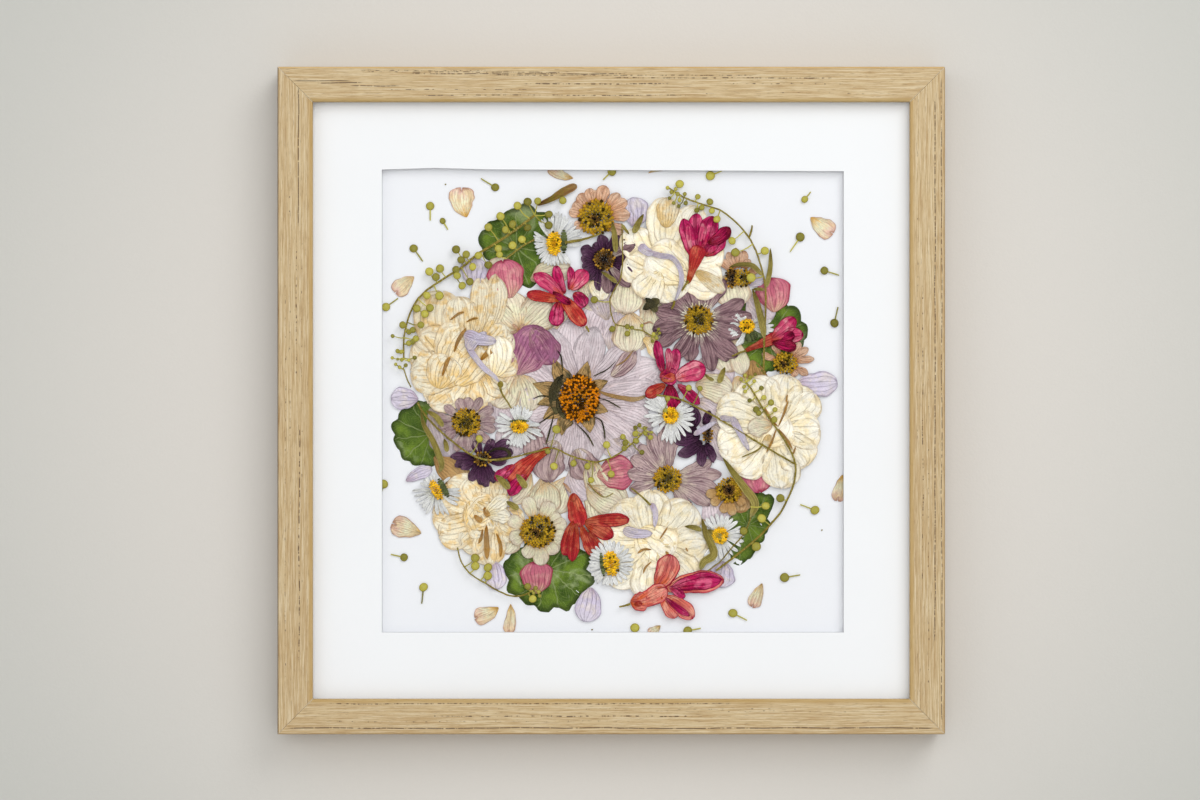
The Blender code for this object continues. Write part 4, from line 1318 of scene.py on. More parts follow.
GOLD_DISC = ("gold disc", (84, 70, 22), (172, 138, 34), (176, 132, 34))
DARK_DISC = ("dark disc", (30, 22, 20), (96, 68, 30), (190, 142, 52))
WHITE_DISC = ("yellow disc", (206, 150, 24), (244, 196, 34), (232, 178, 40))


def disc_material(scheme):
    name, centre, middle, outside = scheme
    return ringed_material(name, srgb(*centre), srgb(*middle), srgb(*outside))


def daisy_disc(name, slot, layer, middle, wide, tall, scheme, count=90, **choices):
    disc = Specimen(name, slot, layer)
    disc.disc(middle, wide, tall, count=count, **choices)
    disc.close(disc_material(scheme))


def press_daisies():
    """The coloured daisies: mauve, purple, plum, peach and dark-eyed."""
    crown("peach_daisy_top_petals", "peach", "peach_petal", 4, (-7.5, 91), (
        -18, 99, -15.5, 103, -10.5, 105.5, -7, 104.7, -2.5, 106.7, 4, 103, 8, 99, 9.5, 92, 6, 84,
        -18, 86, -21, 94
    ), 6.2, 7.5, "peach_daisy_top")
    daisy_disc("peach_daisy_top_stubs", "peach_petal", 5, (-7.5, 91), 8.8, 8.8, GOLD_DISC, 110)
    daisy_disc("peach_daisy_top_eye", "plum_petal", 6, (-8.5, 90), 2.6, 2.6, DARK_DISC, 24)
    crown("peach_daisy_right_petals", "peach", "peach_petal", 4, (86.5, 18.5), (
        80, 28.5, 75, 23.5, 101, 20.5, 98, 26, 98, 13, 92, 12, 89, 30, 94, 29
    ), 4.0, 5.0, "peach_daisy_right")
    daisy_disc("peach_daisy_right_disc", "peach_petal", 5, (86.5, 18.5), 6, 5.5, GOLD_DISC, 70)
    daisy_disc("peach_daisy_right_eye", "plum_petal", 6, (85, 17.8), 2.3, 2.2, DARK_DISC, 20)
    crown("half_hidden_daisy_petals", "peach", "peach_petal", 4, (64, 61), (
        58, 74, 62, 76, 66, 74.5, 69, 70, 54, 70, 73, 66
    ), 4.6, 5.0, "beige_daisy_upper_right")
    daisy_disc("half_hidden_daisy_disc", "peach_petal", 5, (65.5, 61), 4.6, 4.4, GOLD_DISC, 50)
    daisy_disc("half_hidden_daisy_eye", "plum_petal", 5, (60, 61), 3.2, 5.2, DARK_DISC, 44)
    crown("purple_daisy_upper_petals", "plum", "plum_petal", 5, (-3.5, 70), (
        -15, 76, -15, 71, -9, 78, -5, 82.5, 4, 82, 14.3, 71.5, 11, 62, 1, 54, -6, 54.5, -12, 60,
        -14.5, 66, 9, 79
    ), 6.0, 4.0, "purple_daisy_upper")
    crown("purple_daisy_upper_brown_petals", "mauve", "plum_petal", 6, (-3.5, 70),
        (12, 77.5, 9.5, 56.5, -2, 53), 5.4, 4.6)
    daisy_disc("purple_daisy_upper_disc", "plum_petal", 7, (-3.5, 70), 5.3, 5.3, DARK_DISC, 80)
    crown("mauve_daisy_right_petals", "mauve", "mauve_petal", 5, (43.5, 40), (
        39, 19.5, 50, 14.5, 58, 19.5, 63, 22, 65, 33, 66, 50, 70, 42, 57, 60, 46, 58, 38, 57, 27, 52,
        22, 45, 21, 36, 24, 27, 31, 21
    ), 8.2, 6.5, "mauve_daisy_right", size="large", crumple=1.5)
    spikes = pressed("mauve_daisy_right_spikes", "mauve_petal", 6)
    spikes.spread((43.5, 40), 9.2, 34, 0.7, 6.5, size="small", tip=0.15, crumple=0.6)
    spikes.close(petal_material("ivory"))
    daisy_disc("mauve_daisy_right_disc", "mauve_petal", 6, (43.5, 40), 7.2, 7.2, GOLD_DISC, 130)
    crown("mauve_daisy_left_petals", "pale_mauve", "mauve_petal", 5, (-72, -10.8), (
        -76, 1, -70, 1.5, -64.5, 1.5, -58.5, -4, -57.5, -10, -57.5, -15, -60, -21, -65, -25,
        -70.5, -25.5, -77, -25.5, -82, -19, -86, -14, -87.5, -7, -83, -2.5
    ), 5.2, 6.0, "mauve_daisy_left")
    daisy_disc("mauve_daisy_left_disc", "mauve_petal", 6, (-72, -10.8), 7.2, 7.0, GOLD_DISC, 120)
    crown("purple_daisy_left_petals", "plum", "plum_petal", 5, (-64, -29), (
        -80, -28, -78, -32, -75, -34, -70, -40, -65, -42, -62, -43, -58, -41, -52, -30, -49, -25,
        -50, -20, -59, -19, -68, -20
    ), 5.4, 2.5, "purple_daisy_left", frill=1.6)
    daisy_disc("purple_daisy_left_disc", "plum_petal", 6, (-64, -29), 4.4, 3.6, DARK_DISC, 50)
    crown("pinkish_daisy_petals", "pale_mauve", "mauve_petal", 4, (28, -39), (
        10, -28, 14, -22, 19, -15, 25, -13, 32, -14, 8, -36, 9, -44, 50, -30, 55, -37, 54, -45, 49, -52,
        40, -58
    ), 7.4, 6.2, "pinkish_daisy_lower", size="large", crumple=1.4)
    daisy_disc("pinkish_daisy_disc", "mauve_petal", 5, (28, -39), 7, 6.6, GOLD_DISC, 110)
    made = pressed("plum_daisy_petals", "plum_petal", 5, "plum_daisy_centre_right")
    for line, width in ((((40, -14), (42, -8), (39, -3)), 5.5), (((46, -12), (48, -8), (49, -5)), 4),
                        (((44, -17), (37, -20), (30, -18)), 6), (((45, -20), (39, -25), (33, -27)), 6),
                        (((46, -22), (45, -28), (45, -33)), 5.5), (((43, -15), (35, -14), (31, -12)), 5),
                        (((47, -21), (50, -27), (51, -31)), 4.5)):
        made.petal(line, (width * 0.5, width, width, width * 0.7), frill=1.3)
    made.close(petal_material("plum"))
    daisy_disc("plum_daisy_disc", "plum_petal", 6, (48, -17), 2.6, 4.2, DARK_DISC, 34)
    crown("dark_eyed_daisy_petals", "tan", "peach_petal", 7, (58.5, -44.5), (
        47, -47, 50, -52, 55.5, -56, 61, -57, 66, -52, 68, -46
    ), 5.4, 5.6, "dark_eyed_daisy_lower_right")
    daisy_disc("dark_eyed_daisy_disc", "peach_petal", 7, (58.5, -44.5), 6.5, 6.3, GOLD_DISC, 90)
    daisy_disc("dark_eyed_daisy_eye", "plum_petal", 8, (58.5, -44.5), 3.5, 3.5, DARK_DISC, 36)
    crown("golden_daisy_petals", "beige", "mauve_petal", 4, (-36.5, -65), (
        -30, -50, -25, -57, -22, -61, -27, -76, -34, -82, -43, -78, -50, -70, -43, -48, -51, -58,
        -23, -69
    ), 7.5, 7.0, "golden_daisy_lower_left")
    daisy_disc("golden_daisy_disc", "peach_petal", 5, (-36.5, -65), 8.8, 8.2, GOLD_DISC, 150)
    daisy_disc("golden_daisy_eye", "plum_petal", 6, (-38, -66), 3.0, 3.0, DARK_DISC, 30)


# name, layer, disc middle, its half width and height, turn, petal tips, petal width, calyx
WHITE_DAISIES = (
    ("upper", 5, (-28.5, 78), 3.8, 6.0, 0, ((-38.5, 84), (-39, 80), (-38, 76), (-37, 72.5),
     (-35, 68.5), (-31.5, 67), (-28, 66.5), (-24, 67.5), (-20, 67.5), (-36, 89), (-33.5, 91),
     (-29, 93), (-26, 94), (-23, 92), (-19, 89), (-15, 85), (-14.5, 81), (-15, 77)), 3.0,
     ((-23.5, 79), 1.9, 5.4, 0)),
    ("right", 5, (67.5, 37), 3.9, 3.6, 0, ((60, 42), (63, 44), (66, 42), (58, 35), (60, 31),
     (59, 38), (62, 27), (65, 28), (82, 35), (80, 40), (79, 33), (76, 42)), 3.2,
     ((69.5, 31.5), 3.2, 2.4, 20)),
    ("centre_right", 8, (29.5, -7.5), 4.0, 4.2, 0, ((16, -2), (17, 2), (22, 4), (25, 3),
     (16, -8), (20, -13), (25, -20), (30, -22), (34, -20), (40, -16), (42, -9), (41, -4),
     (36, -1)), 3.6, None),
    ("bottom", 8, (0, -81), 4.0, 6.2, 10, ((-11, -78), (-11.5, -82), (-10, -87), (-7, -91),
     (-2, -92.5), (3, -92), (8, -89), (11, -84), (11.5, -79), (9, -73.5), (4, -70),
     (-1, -69), (-6, -70.5), (-10, -74)), 3.4, ((-4.4, -81.5), 1.3, 5.4, 8)),
    ("lower_right", 8, (54, -67), 4.0, 4.2, 0, ((44, -62), (47, -58), (52, -56), (58, -57),
     (63, -60), (66, -65), (66, -70), (63, -75), (58, -79), (52, -80), (46, -78)), 3.6, None),
    ("left", 5, (-87, -44.5), 2.4, 5.4, 28, ((-99, -45), (-97, -50), (-94, -53.5), (-92, -56.5),
     (-95, -41), (-92, -38), (-88, -36), (-86, -57), (-80.5, -57), (-75, -44), (-74.5, -47.5),
     (-76, -52), (-80, -38)), 2.8, ((-83.4, -43.4), 1.9, 4.8, 28)),
    ("centre_left", 5, (-45.7, -13), 4.6, 3.2, 0, ((-50, -3), (-46.5, -2), (-43, -3), (-39, -5),
     (-56, -6), (-58, -10), (-57, -15), (-52, -22), (-48.5, -23), (-44.5, -24), (-40.5, -21),
     (-34, -18), (-35, -12)), 3.4, ((-45.7, -10.2), 4.4, 0.9, 0)),
)


def press_white_daisies():
    for name, layer, middle, wide, tall, turn, tips, width, calyx in WHITE_DAISIES:
        made = pressed(f"white_daisy_{name}_petals", "white_petal", layer,
                       f"white_daisy_{name}")
        for near, far in zip(tips, tips[1:] + tips[:1]):
            made.ring(middle, (near,), width * 0.6, 3.0, size="small", tip=0.25, crumple=0.9)
            if math.dist(near, far) < 9:
                mid = ((near[0] + far[0]) / 2, (near[1] + far[1]) / 2)
                made.ring(middle, (mid,), width * 0.5, 3.0, size="small", tip=0.25, crumple=0.9)
        made.close(petal_material("white"))
        daisy_disc(f"white_daisy_{name}_disc", "white_petal", layer + 1, middle, wide, tall,
                   WHITE_DISC, 80, turn=turn, thick=0.6, dark=0.05)
        if calyx:
            place, across, up, lean = calyx
            cup = Specimen(f"white_daisy_{name}_calyx", "geranium_leaf", layer + 2)
            for step in range(9):
                share_up = step / 8 * 2 - 1
                swing = math.radians(lean)
                long = up if up > across else across
                dx, dz = (0, share_up * long) if up > across else (share_up * long, 0)
                reach = math.sqrt(1 - share_up * share_up * 0.8)
                cup.pip(place[0] + dx * math.cos(swing) - dz * math.sin(swing),
                        place[1] + dx * math.sin(swing) + dz * math.cos(swing),
                        (across if up > across else long / 5) * reach,
                        (long / 5 if up > across else up) * reach, 0.5, lean, 0.5, sides=2)
            cup.close(ringed_material("calyx green", srgb(70, 76, 44), srgb(92, 100, 62),
                                      srgb(112, 118, 74)))


def press_crimson_flowers():
    parts = (
        ("star_upper_left", "crimson_star_upper_left", (
            ("crimson", "petal", ((-23, 53, -26, 60, -27.5, 67, 5.5),
                                  (-26, 49, -27, 43, -27.5, 37, 8),
                                  (-19, 53, -16, 51, -13, 46.5, 7.5),
                                  (-21, 55, -20, 61, -20.5, 66.5, 4))),
            ("pink", "petal", ((-24, 51, -31, 58, -38.5, 63, 7.5), (-20, 55, -16, 60, -12, 64.5, 8.5))),
            ("orange", "petal", ((-25, 50, -34, 51.5, -42, 53, 6), (-25, 52, -20, 46, -13, 37, 8))),
            ("dark_red", "petal", ((-29, 54, -25, 51, -20, 48, 4),)),
        )),
        ("star_centre", "crimson_star_centre", (
            ("dark_red", "petal", ((29, 8, 30, 0, 31, -7, 9),)),
            ("crimson", "petal", ((26, 13, 24, 21, 22.5, 30, 5), (31, 13, 32, 20, 32, 26, 5.5),
                                  (33, 8, 38, 4, 44, -2, 5.5), (24, 12, 28, 12, 33, 11.5, 9))),
            ("pink", "petal", ((28, 14, 29, 20, 28, 26, 4), (32, 11, 39, 14, 47, 16, 10.5))),
            ("orange", "petal", ((27, 8, 22, 5, 17, 2, 6.5), (25, 10, 28, 11, 32, 12, 5))),
        )),
        ("trumpet_upper_right", "crimson_trumpet_upper_right", (
            ("crimson", "petal", ((41, 70, 38, 82, 36, 90.5, 7.5), (43, 72, 42, 84, 42.5, 93, 8.5),
                                  (45, 74, 48, 84, 51, 91.5, 9.5), (46, 72, 51, 76, 56, 81, 8))),
            ("dark_red", "petal", ((48, 78, 54, 81, 59, 86, 7),)),
            ("pink", "petal", ((43, 74, 45, 81, 46, 89, 4), (39.5, 74, 38.5, 81, 38, 88, 3))),
            ("orange", "funnel", ((38, 58, 40, 64, 42, 71, 44, 77, 11),)),
        )),
        ("trumpet_right", "crimson_trumpet_right", (
            ("orange", "funnel", ((66, 24.5, 74, 28, 84, 32, 9),)),
            ("pink", "petal", ((80, 30.5, 88, 32, 95.5, 33, 8), (80, 31, 86, 36, 91.5, 41, 8))),
            ("dark_red", "petal", ((84, 30, 87.5, 31.5, 91, 33, 5.4), (80, 29, 86, 27.5, 92, 26.5, 6))),
        )),
        ("trumpet_left", "pink_trumpet_left", (
            ("orange", "funnel", ((-30, -23.5, -38, -28.5, -45, -35, -50, -41, 15),)),
            ("crimson", "petal", ((-42, -37, -47, -42, -51, -47, 7), (-48, -32, -53, -36, -58, -39, 6))),
        )),
    )
    for name, node, layers in parts:
        nodes = (node,)
        for number, (finish, shape, rows) in enumerate(layers):
            made = pressed(f"crimson_{name}_{finish}", "crimson_petal", 8 + 0.35 * number,
                           *nodes)
            nodes = ()
            made.rows(rows, shape=shape, tip=0.3, crumple=1.3)
            made.close(petal_material(finish))
    stems = Specimen("crimson_flower_stems", "olive_twig", 9)
    stems.stems(((35, 54.5, 36.4, 56.6, 38.4, 59.5, 1.0, 1.4),
                 (-12.5, 37, -11.8, 35.6, -11, 34, 1.4, 1.0),
                 (60, 22, 63, 23.4, 67, 24.8, 0.9, 1.2)))
    stems.close(twig_material())


def press_salmon_flowers():
    lay("orange_trumpet_petals", "orange", "salmon_petal", 8, (
        (-19, -46, -17.5, -54, -15, -63, 9.5), (-19, -60, -21.5, -68, -23, -77, 6),
        (-17.5, -61, -18.6, -70, -19.5, -80, 6.4), (-15, -62, -12, -70, -9, -77, 5.6),
        (-11, -65, -7.5, -71, -4, -76.5, 5.2), (-13, -61, -6, -64, 1, -68, 8),
        (-13, -60, -3, -59.5, 9, -59, 7),
    ), "orange_trumpet_bottom", tip=0.3, crumple=1.3)
    lay("salmon_flower_petals", "salmon", "salmon_petal", 9, (
        (22, -93, 27, -86, 30, -76.5, 12), (27, -94, 40, -90.5, 56, -89.5, 11.4),
        (27, -97, 34, -102, 41, -108, 9), (25, -97, 29, -103, 32, -108, 7.6),
        (12, -100.5, 19, -98, 28, -93, 10), (9.5, -100, 13.5, -100, 18, -99, 10),
    ), "salmon_flower_bottom", tip=0.32, base=0.2, crumple=1.5, size="large")
    dark = pressed("salmon_flower_folds", "crimson_petal", 10)
    dark.petal(((30, -93), (42, -90), (55, -89)), (3, 7.5, 9, 6), tip=0.25)
    dark.petal(((27, -98), (33, -103), (39, -107)), (1.5, 3, 3.4, 3), size="small")
    dark.petal(((29, -92.5), (33, -95), (36.5, -98)), (2, 4.6, 3))
    dark.close(petal_material("crimson"))
    spot = pressed("salmon_flower_spots", "salmon_petal", 10)
    spot.petal(((11.5, -101.5), (13.5, -101), (15.5, -100.6)), (2, 3, 2), size="small")
    spot.petal(((-19, -50), (-18.4, -48), (-18, -46)), (2, 3, 2), size="small")
    spot.close(petal_material("orange"))
    stems = Specimen("salmon_flower_stems", "olive_twig", 9)
    stems.stem(((4, -102.5), (6.5, -102), (9.5, -101)), (0.9, 1.3))
    stems.stem(((-11.5, -40), (-8, -45), (-3.5, -48), (1, -46)), (0.6, 0.7, 0.5))
    stems.close(twig_material())


def press_lilac_tubes():
    lay("lilac_tubes", "lilac", "hydrangea_petal", 10, (
        (-72, 31, -71, 27, -68, 22, -63, 16, -58, 12, -55.5, 9, 3.8),
        (-73, 33, -66, 30.5, -57, 29.5, 8), (-71, 25, -68, 29, -62, 34, 6),
        (17, 74.5, 24, 72, 30, 71, 34, 66, 35, 60, 33.5, 54, 31.5, 49, 3.4),
        (14, 77, 17, 74.5, 21, 72.5, 5.5), (20, -51, 22, -56, 21.5, -63, 3.6),
        (6, -64, 12, -66, 20.5, -66, 6.4), (60, -8, 64, -16, 68.5, -25, 4.4),
        (54, -8.5, 58, -9, 63, -10, 3.4), (41, -17, 46, -14, 52, -10.5, 3.4),
    ), shape="tube", tip=0.2, base=0.3, crumple=0.9, frill=0.5)
    stems = Specimen("lilac_tube_stems", "olive_twig", 10)
    stems.stem(((-55.5, 9), (-54.5, 4), (-52, 0), (-49.5, -4)), (2.0, 1.1, 0.9, 0.8))
    stems.stem(((10, -43.5), (15, -47.5), (19.5, -52)), (0.8, 1.0, 1.3))
    stems.stem(((31.5, 49.5), (31, 47.5), (30, 45.5)), (1.4, 1.1))
    stems.pip(-55, 8, 1.5, 1.7, 0.7, 0, 0.5, sides=2)
    stems.close(twig_material())


def press_olive_leaves():
    """Narrow olive leaves and small green leaflets that lie on top."""
    lay("olive_leaves", "olive", "olive_twig", 10.5, (
        (16, 92.5, 13.5, 88, 11, 83, 3.2), (9, 82.5, 7, 85, 5.3, 87.5, 1.6),
        (0.5, 89, 1.8, 81, 2.3, 73.5, 3), (-5, 64, -1, 61.5, 3, 58.5, 2.2),
        (79, 75.5, 79, 66, 77, 56, 2.6), (58.5, 66, 63, 67.5, 70, 67, 75, 62, 2.6),
        (70, 55.5, 72, 50, 75, 38, 76, 31, 3.6), (70, 55, 73, 55.4, 76, 55, 1.8),
        (56.5, 16.5, 54.8, 12.5, 53.5, 8.5, 3.1), (46.5, 13, 48.5, 11.2, 51, 10, 1.8),
        (-94.5, -5, -93, -12, -89, -19, -86, -26, -84, -32, -85.5, -36, 3.2),
        (-92, -5, -87, -8, -83.5, -13, 3), (-83, -19, -82, -22, -81.5, -25.5, 2.6),
        (55.5, -28.5, 60, -35, 66, -43, 71.5, -51, 69, -58, 4.2), (48, -64, 52, -67.5, 57, -70, 5.2),
        (45, -58.5, 47, -66, 51, -76, 46, -80, 44.5, -84, 4.2), (36.5, -62.5, 41, -63, 45, -64.5, 2.6),
        (-57.5, -37, -54, -40, -50.5, -44, 3.6), (-47, -36.5, -44.5, -40, -42, -43.5, 3.4),
        (-52, -50, -49, -52, -46, -54, 3.2),
    ), tip=0.2, base=0.2, crumple=0.9, frill=0.5)
    lay("green_leaflets", "calyx", "geranium_leaf", 9.5, (
        (16, 45, 19, 47.5, 24, 50, 4.6), (17, 51, 20, 48, 22.5, 44, 4),
        (-62, -26.5, -57, -24, -52, -24.5, -50.5, -28, -58, -30, 1.8),
    ), tip=0.25, base=0.2)


TWIGS = {
    "upper_left": (
        (-38, 92, -50, 83, -60, 76.5, -66, 73, -73, 67, -80, 62.5, -90, 56, -94, 52.5,
         -97, 49, -100, 43, -102, 36, -103, 30, -103, 21, 1.5, 0.9),
        (-103, 15.5, -101.5, 11, -99.5, 6.5, 0.8, 0.7), (-38, 80, -45, 76, -52, 70.5, 1, 0.9)),
    "upper_right": (
        (28.6, 105.5, 36, 101, 45, 97.5, 50, 96, 55, 94, 62, 88.5, 66, 84, 69, 80, 72, 74,
         74, 68, 75.3, 63, 76.5, 57, 76.7, 45, 76, 30, 75.8, 13, 0.9, 1.1),
        (70, 87, 69.5, 84, 68.5, 81, 1, 1.2)),
    "right": (
        (67, 9, 70, 5, 73, 0, 76, -5, 80, -11, 84, -16.5, 87.5, -22, 90, -27, 91.5, -32,
         91.5, -36, 90.5, -42, 88, -48, 84.5, -55, 80, -60.5, 74, -67, 67, -73, 60, -78.5,
         52, -84.5, 1, 1.2),
        (65, -28, 72, -25, 75.5, -21.5, 0.7, 0.9),
        (69, -50, 69.5, -57, 66, -66, 60, -73, 54, -80, 48, -84.5, 0.7, 0.7)),
    "centre": (
        (-96, -1, -94, -5, -90, -10, -84, -16, -78, -21, -72, -25.5, -66, -28.5, -60, -29.5,
         -50, -28.5, -40, -26, -30, -23.8, -25, -25, -20, -27.5, -9, -30.5, -4, -29.7, 1, -28,
         5, -25.5, 9, -22.5, 13, -19, 18, -13, 1.1, 0.9),),
    "lower_left": (
        (-76.3, -73, -75.5, -77, -74, -81, -71, -85, -67, -88.2, -62, -91, -58, -93.5,
         -54, -95.5, -50, -97, -45, -97, -41, -95.5, -38, -93.5, 0.8, 0.9),),
    "straight": (
        (22.5, 2.7, 33, 1, 45, -4.5, 55, -10, 75, -22, 92, -32, 1, 1),
        (-23, 78.5, -14, 80, -5, 83, 1.6, 1),
        (5.3, 88, 5.5, 80, 5.7, 68, 4.5, 60, 3, 57.5, 0, 52, -0.7, 49, 0, 43, 2, 38, 6, 37,
         11, 35.5, 16, 34.5, 20, 32, 0.6, 0.8)),
}
TWIG_NODES = {"upper_left": "bud_twig_upper_left", "upper_right": "bud_twig_upper_right",
              "right": "bud_twig_right", "centre": "bud_twig_centre"}
# the flat buds on the twigs: right, up, radius
TWIG_BUDS = {
    "upper_left": (
        (-61, 86, 1.9), (-55, 91.5, 1.9), (-52.5, 84.8, 1.8), (-49, 87.5, 1.9), (-46.5, 96.7, 1.8),
        (-41.5, 98.7, 1.9), (-41.5, 85.8, 1.8), (-44.3, 80, 1.8), (-49, 77, 1.9), (-56, 75.5, 1.7),
        (-55.5, 72.5, 1.6), (-66, 72, 1.8), (-61, 67.3, 1.9), (-68.8, 66.4, 1.8),
        (-74.5, 69.8, 1.8), (-72, 72.5, 1.7), (-77, 75, 1.9), (-77, 65, 1.8), (-76.5, 62, 1.7),
        (-85, 65.5, 1.9), (-90.3, 64, 1.9), (-87, 61.3, 1.8), (-74, 57, 1.8), (-70.2, 59, 1.7),
        (-85.3, 52, 1.9), (-91.5, 52.2, 1.8), (-96.5, 45.7, 1.8), (-90, 46, 1.8),
        (-92.5, 43, 1.8), (-24, 99.3, 1.7), (-31, 92.5, 1.8), (-31, 87, 1.8), (-36.5, 99, 1.7),
        (-103.5, 37.5, 1.6), (-94.5, 37.5, 1.6), (-98.5, 35, 1.4), (-100.5, 34, 1.3),
        (-97, 30.7, 1.5), (-98.7, 29, 1.3), (-100.5, 28.5, 1.3), (-108.5, 32, 0.9),
        (-106, 24.5, 1.1), (-104.2, 24.2, 1.1), (-108.7, 21.2, 0.8), (-97.5, 21.3, 1.0),
        (-107, 18, 0.8), (-105, 16.5, 0.9), (-102, 17.5, 0.9), (-100.5, 20, 0.8),
        (-104, 20, 0.7), (-106, 20.5, 0.7)),
    "upper_right": (
        (34, 107.5, 1.9), (43, 101.2, 1.3), (49, 98.7, 1.5), (45, 95.8, 1.3), (42.5, 94.5, 1.2),
        (50, 94.2, 1.4), (52.5, 90, 1.7), (60, 79.3, 1.8), (61.6, 73.5, 2.0), (76.3, 74.3, 1.9),
        (28, 105.6, 0.9), (30, 103.5, 1.0), (32, 105, 0.9), (33, 102.5, 1.0), (29, 100.5, 0.8),
        (31, 98, 0.9), (34, 99.5, 1.0), (36.5, 102.5, 0.9), (37, 98, 1.0), (33.5, 96.5, 0.9),
        (69.5, 61, 2.1)),
    "right": (
        (66, 6.8, 0.9), (66.5, 4.5, 0.9), (74.6, 6.2, 1.1), (68.7, 0, 1.0), (75.8, 1.5, 1.2),
        (79.4, -1, 1.5), (81.3, -4.5, 1.2), (72, -4.5, 1.5), (73.3, -6.3, 1.3), (81, -9.5, 1.5),
        (64.5, 10.5, 0.9), (66.5, 12.5, 0.9), (69, 11.5, 1.0), (71.5, 13, 0.8), (71, 9.6, 0.9),
        (84, -48.5, 1.9), (76.7, -52.3, 1.9), (74.7, -58.5, 1.9), (65.8, -64.8, 1.8),
        (72, -72.5, 2.1)),
    "centre": (
        (12, -13.5, 1.1), (14, -12.3, 1.0), (16.5, -13.8, 1.0), (17, -16.3, 1.1),
        (12, -16.5, 1.4), (20, -15.8, 0.8), (19.5, -18.3, 1.2), (12.3, -20, 1.5), (7, -21, 1.5),
        (5.8, -18, 1.3), (6.5, -23.7, 1.3), (15.2, -25.7, 1.2), (-2.3, -22, 1.7),
        (-27.2, -14.3, 2.0), (-31.5, -25.3, 1.3), (-28.4, -32.6, 1.8), (-18.7, -31.2, 1.6),
        (-11.8, -32.7, 1.6), (0, -36.5, 1.7), (-65.5, -19, 1.8), (-10, -39.5, 1.4)),
    "lower_left": (
        (-67.5, -78.2, 2.0), (-67.5, -82.2, 2.0), (-61.2, -83, 2.0), (-61.3, -87, 2.0),
        (-41.5, -92.3, 1.6), (-39, -98.5, 1.8), (-37.5, -93, 1.0), (-36, -95, 1.0),
        (-38.5, -95.5, 0.9), (-35.5, -97, 0.8)),
    "straight": (
        (-8.4, 50, 1.7), (0.5, 35.5, 1.5), (8, 36.7, 1.2), (10.3, 36.2, 1.0), (8, 33.2, 1.3),
        (15.2, 37.2, 0.9), (21, 33, 0.9), (22.5, 31, 0.9), (24, 33.5, 0.8), (20.5, 29.5, 0.8),
        (23.5, 35.5, 0.8), (28, 1, 1.2), (27, -5, 1.2), (38.5, 6.3, 1.4), (44, 6, 1.3)),
}


BUD_GROWTH = 1.1
LONGEST_BUD_STALK = 13


def nearest_on(rows, spot):
    """The place on these stalks that is nearest to a spot."""
    found = []
    for *points, _, _ in rows:
        places = [Vector(place) for place in zip(points[0::2], points[1::2])]
        for first, second in zip(places, places[1:]):
            found += [first.lerp(second, share / 5) for share in range(6)]
    return min(found, key=lambda place: (place - spot).length)


def press_twigs():
    for name, lines in TWIGS.items():
        nodes = [TWIG_NODES[name]] if name in TWIG_NODES else []
        made = Specimen(f"twig_{name}", "olive_twig", 9.5, *nodes)
        made.stems(lines)
        made.close(twig_material())
        buds = Specimen(f"twig_buds_{name}", "olive_twig", 10)
        for x, z, radius in TWIG_BUDS[name]:
            spot = Vector((x, z))
            joined = nearest_on(lines, spot)
            if radius * 0.8 < (joined - spot).length < LONGEST_BUD_STALK:
                bend = spot.lerp(joined, 0.5) + Vector((buds.chance.uniform(-0.7, 0.7), -0.5))
                buds.stem((joined, bend, spot), (0.7, 0.5))
            buds.bud(x, z, radius * BUD_GROWTH)
        buds.close(bud_material())
    broad = pressed("twig_cut_end", "olive_twig", 9)
    broad.petal(((-37, 97), (-30, 100), (-24, 103.5), (-17, 107)), (1.6, 2.8, 4.2, 4.0), tip=0.15)
    broad.close(petal_material("brown"))


def bud_material():
    bud = settings().petals.bud
    return ringed_material("olive bud", bud, srgb(168, 160, 70), srgb(140, 128, 48), 0.55, 1400.0)


# the middle, the radius and the far end of the stalk
LOOSE_BUDS = (
    (-57.7, 106, 2.0, -64.8, 110.4), (-90, 96.7, 2.1, -90, 89.5), (-83.8, 89.3, 1.5, -81.2, 85),
    (-98.2, 75.6, 2.1, -93.7, 69.2), (-112, 46.5, 2.1, -106, 50.8), (-113, -41.5, 2.2, -114.3, -46),
    (-103, -78, 1.9, -109.6, -76.5), (-93.3, -92.8, 2.3, -94.2, -101), (11.8, -113, 2.3, 12, -117),
    (38, -114.4, 2.2, 44.5, -113.3), (60.5, -105.7, 2.3, 67.5, -109.3), (86.2, -88, 2.3, 94, -86.7),
    (101.3, -54.5, 2.3, 94, -51.7), (111, 38.5, 2.2, 112.8, 46.5), (106, 64.6, 2.0, 113.3, 62.3),
    (94, 81.3, 2.3, 89, 74), (96.2, 100, 1.8, 99.2, 103.7), (49.3, 111.8, 2.3, 55, 114.2),
    (0.3, 114, 2.2, -4, 109.7),
)

# points from the stalk end to the far edge, and then the width
LOOSE_PETALS = (
    (-72, 91.2, -74, 98, -74.5, 106, 13), (-98.2, 61.5, -102, 58.5, -107.5, 53.5, 9),
    (-19, 110.5, -24.5, 112, -31, 115.5, 6), (18.5, 113.2, 22, 114.5, 27, 115.6, 2),
    (99.2, 91, 105, 86.5, 110.5, 83, 10), (115, -37, 114, -43, 112.5, -50, 7),
    (-94.5, -66, -101, -64, -109, -61, 10.5), (-56, -103, -61, -106, -68, -108.5, 9),
    (-50, -101.3, -50, -107, -51, -116, 6), (75, -91, 73, -96, 70, -103, 7),
    (24.5, -112, 22, -114, 19, -116.5, 5),
)


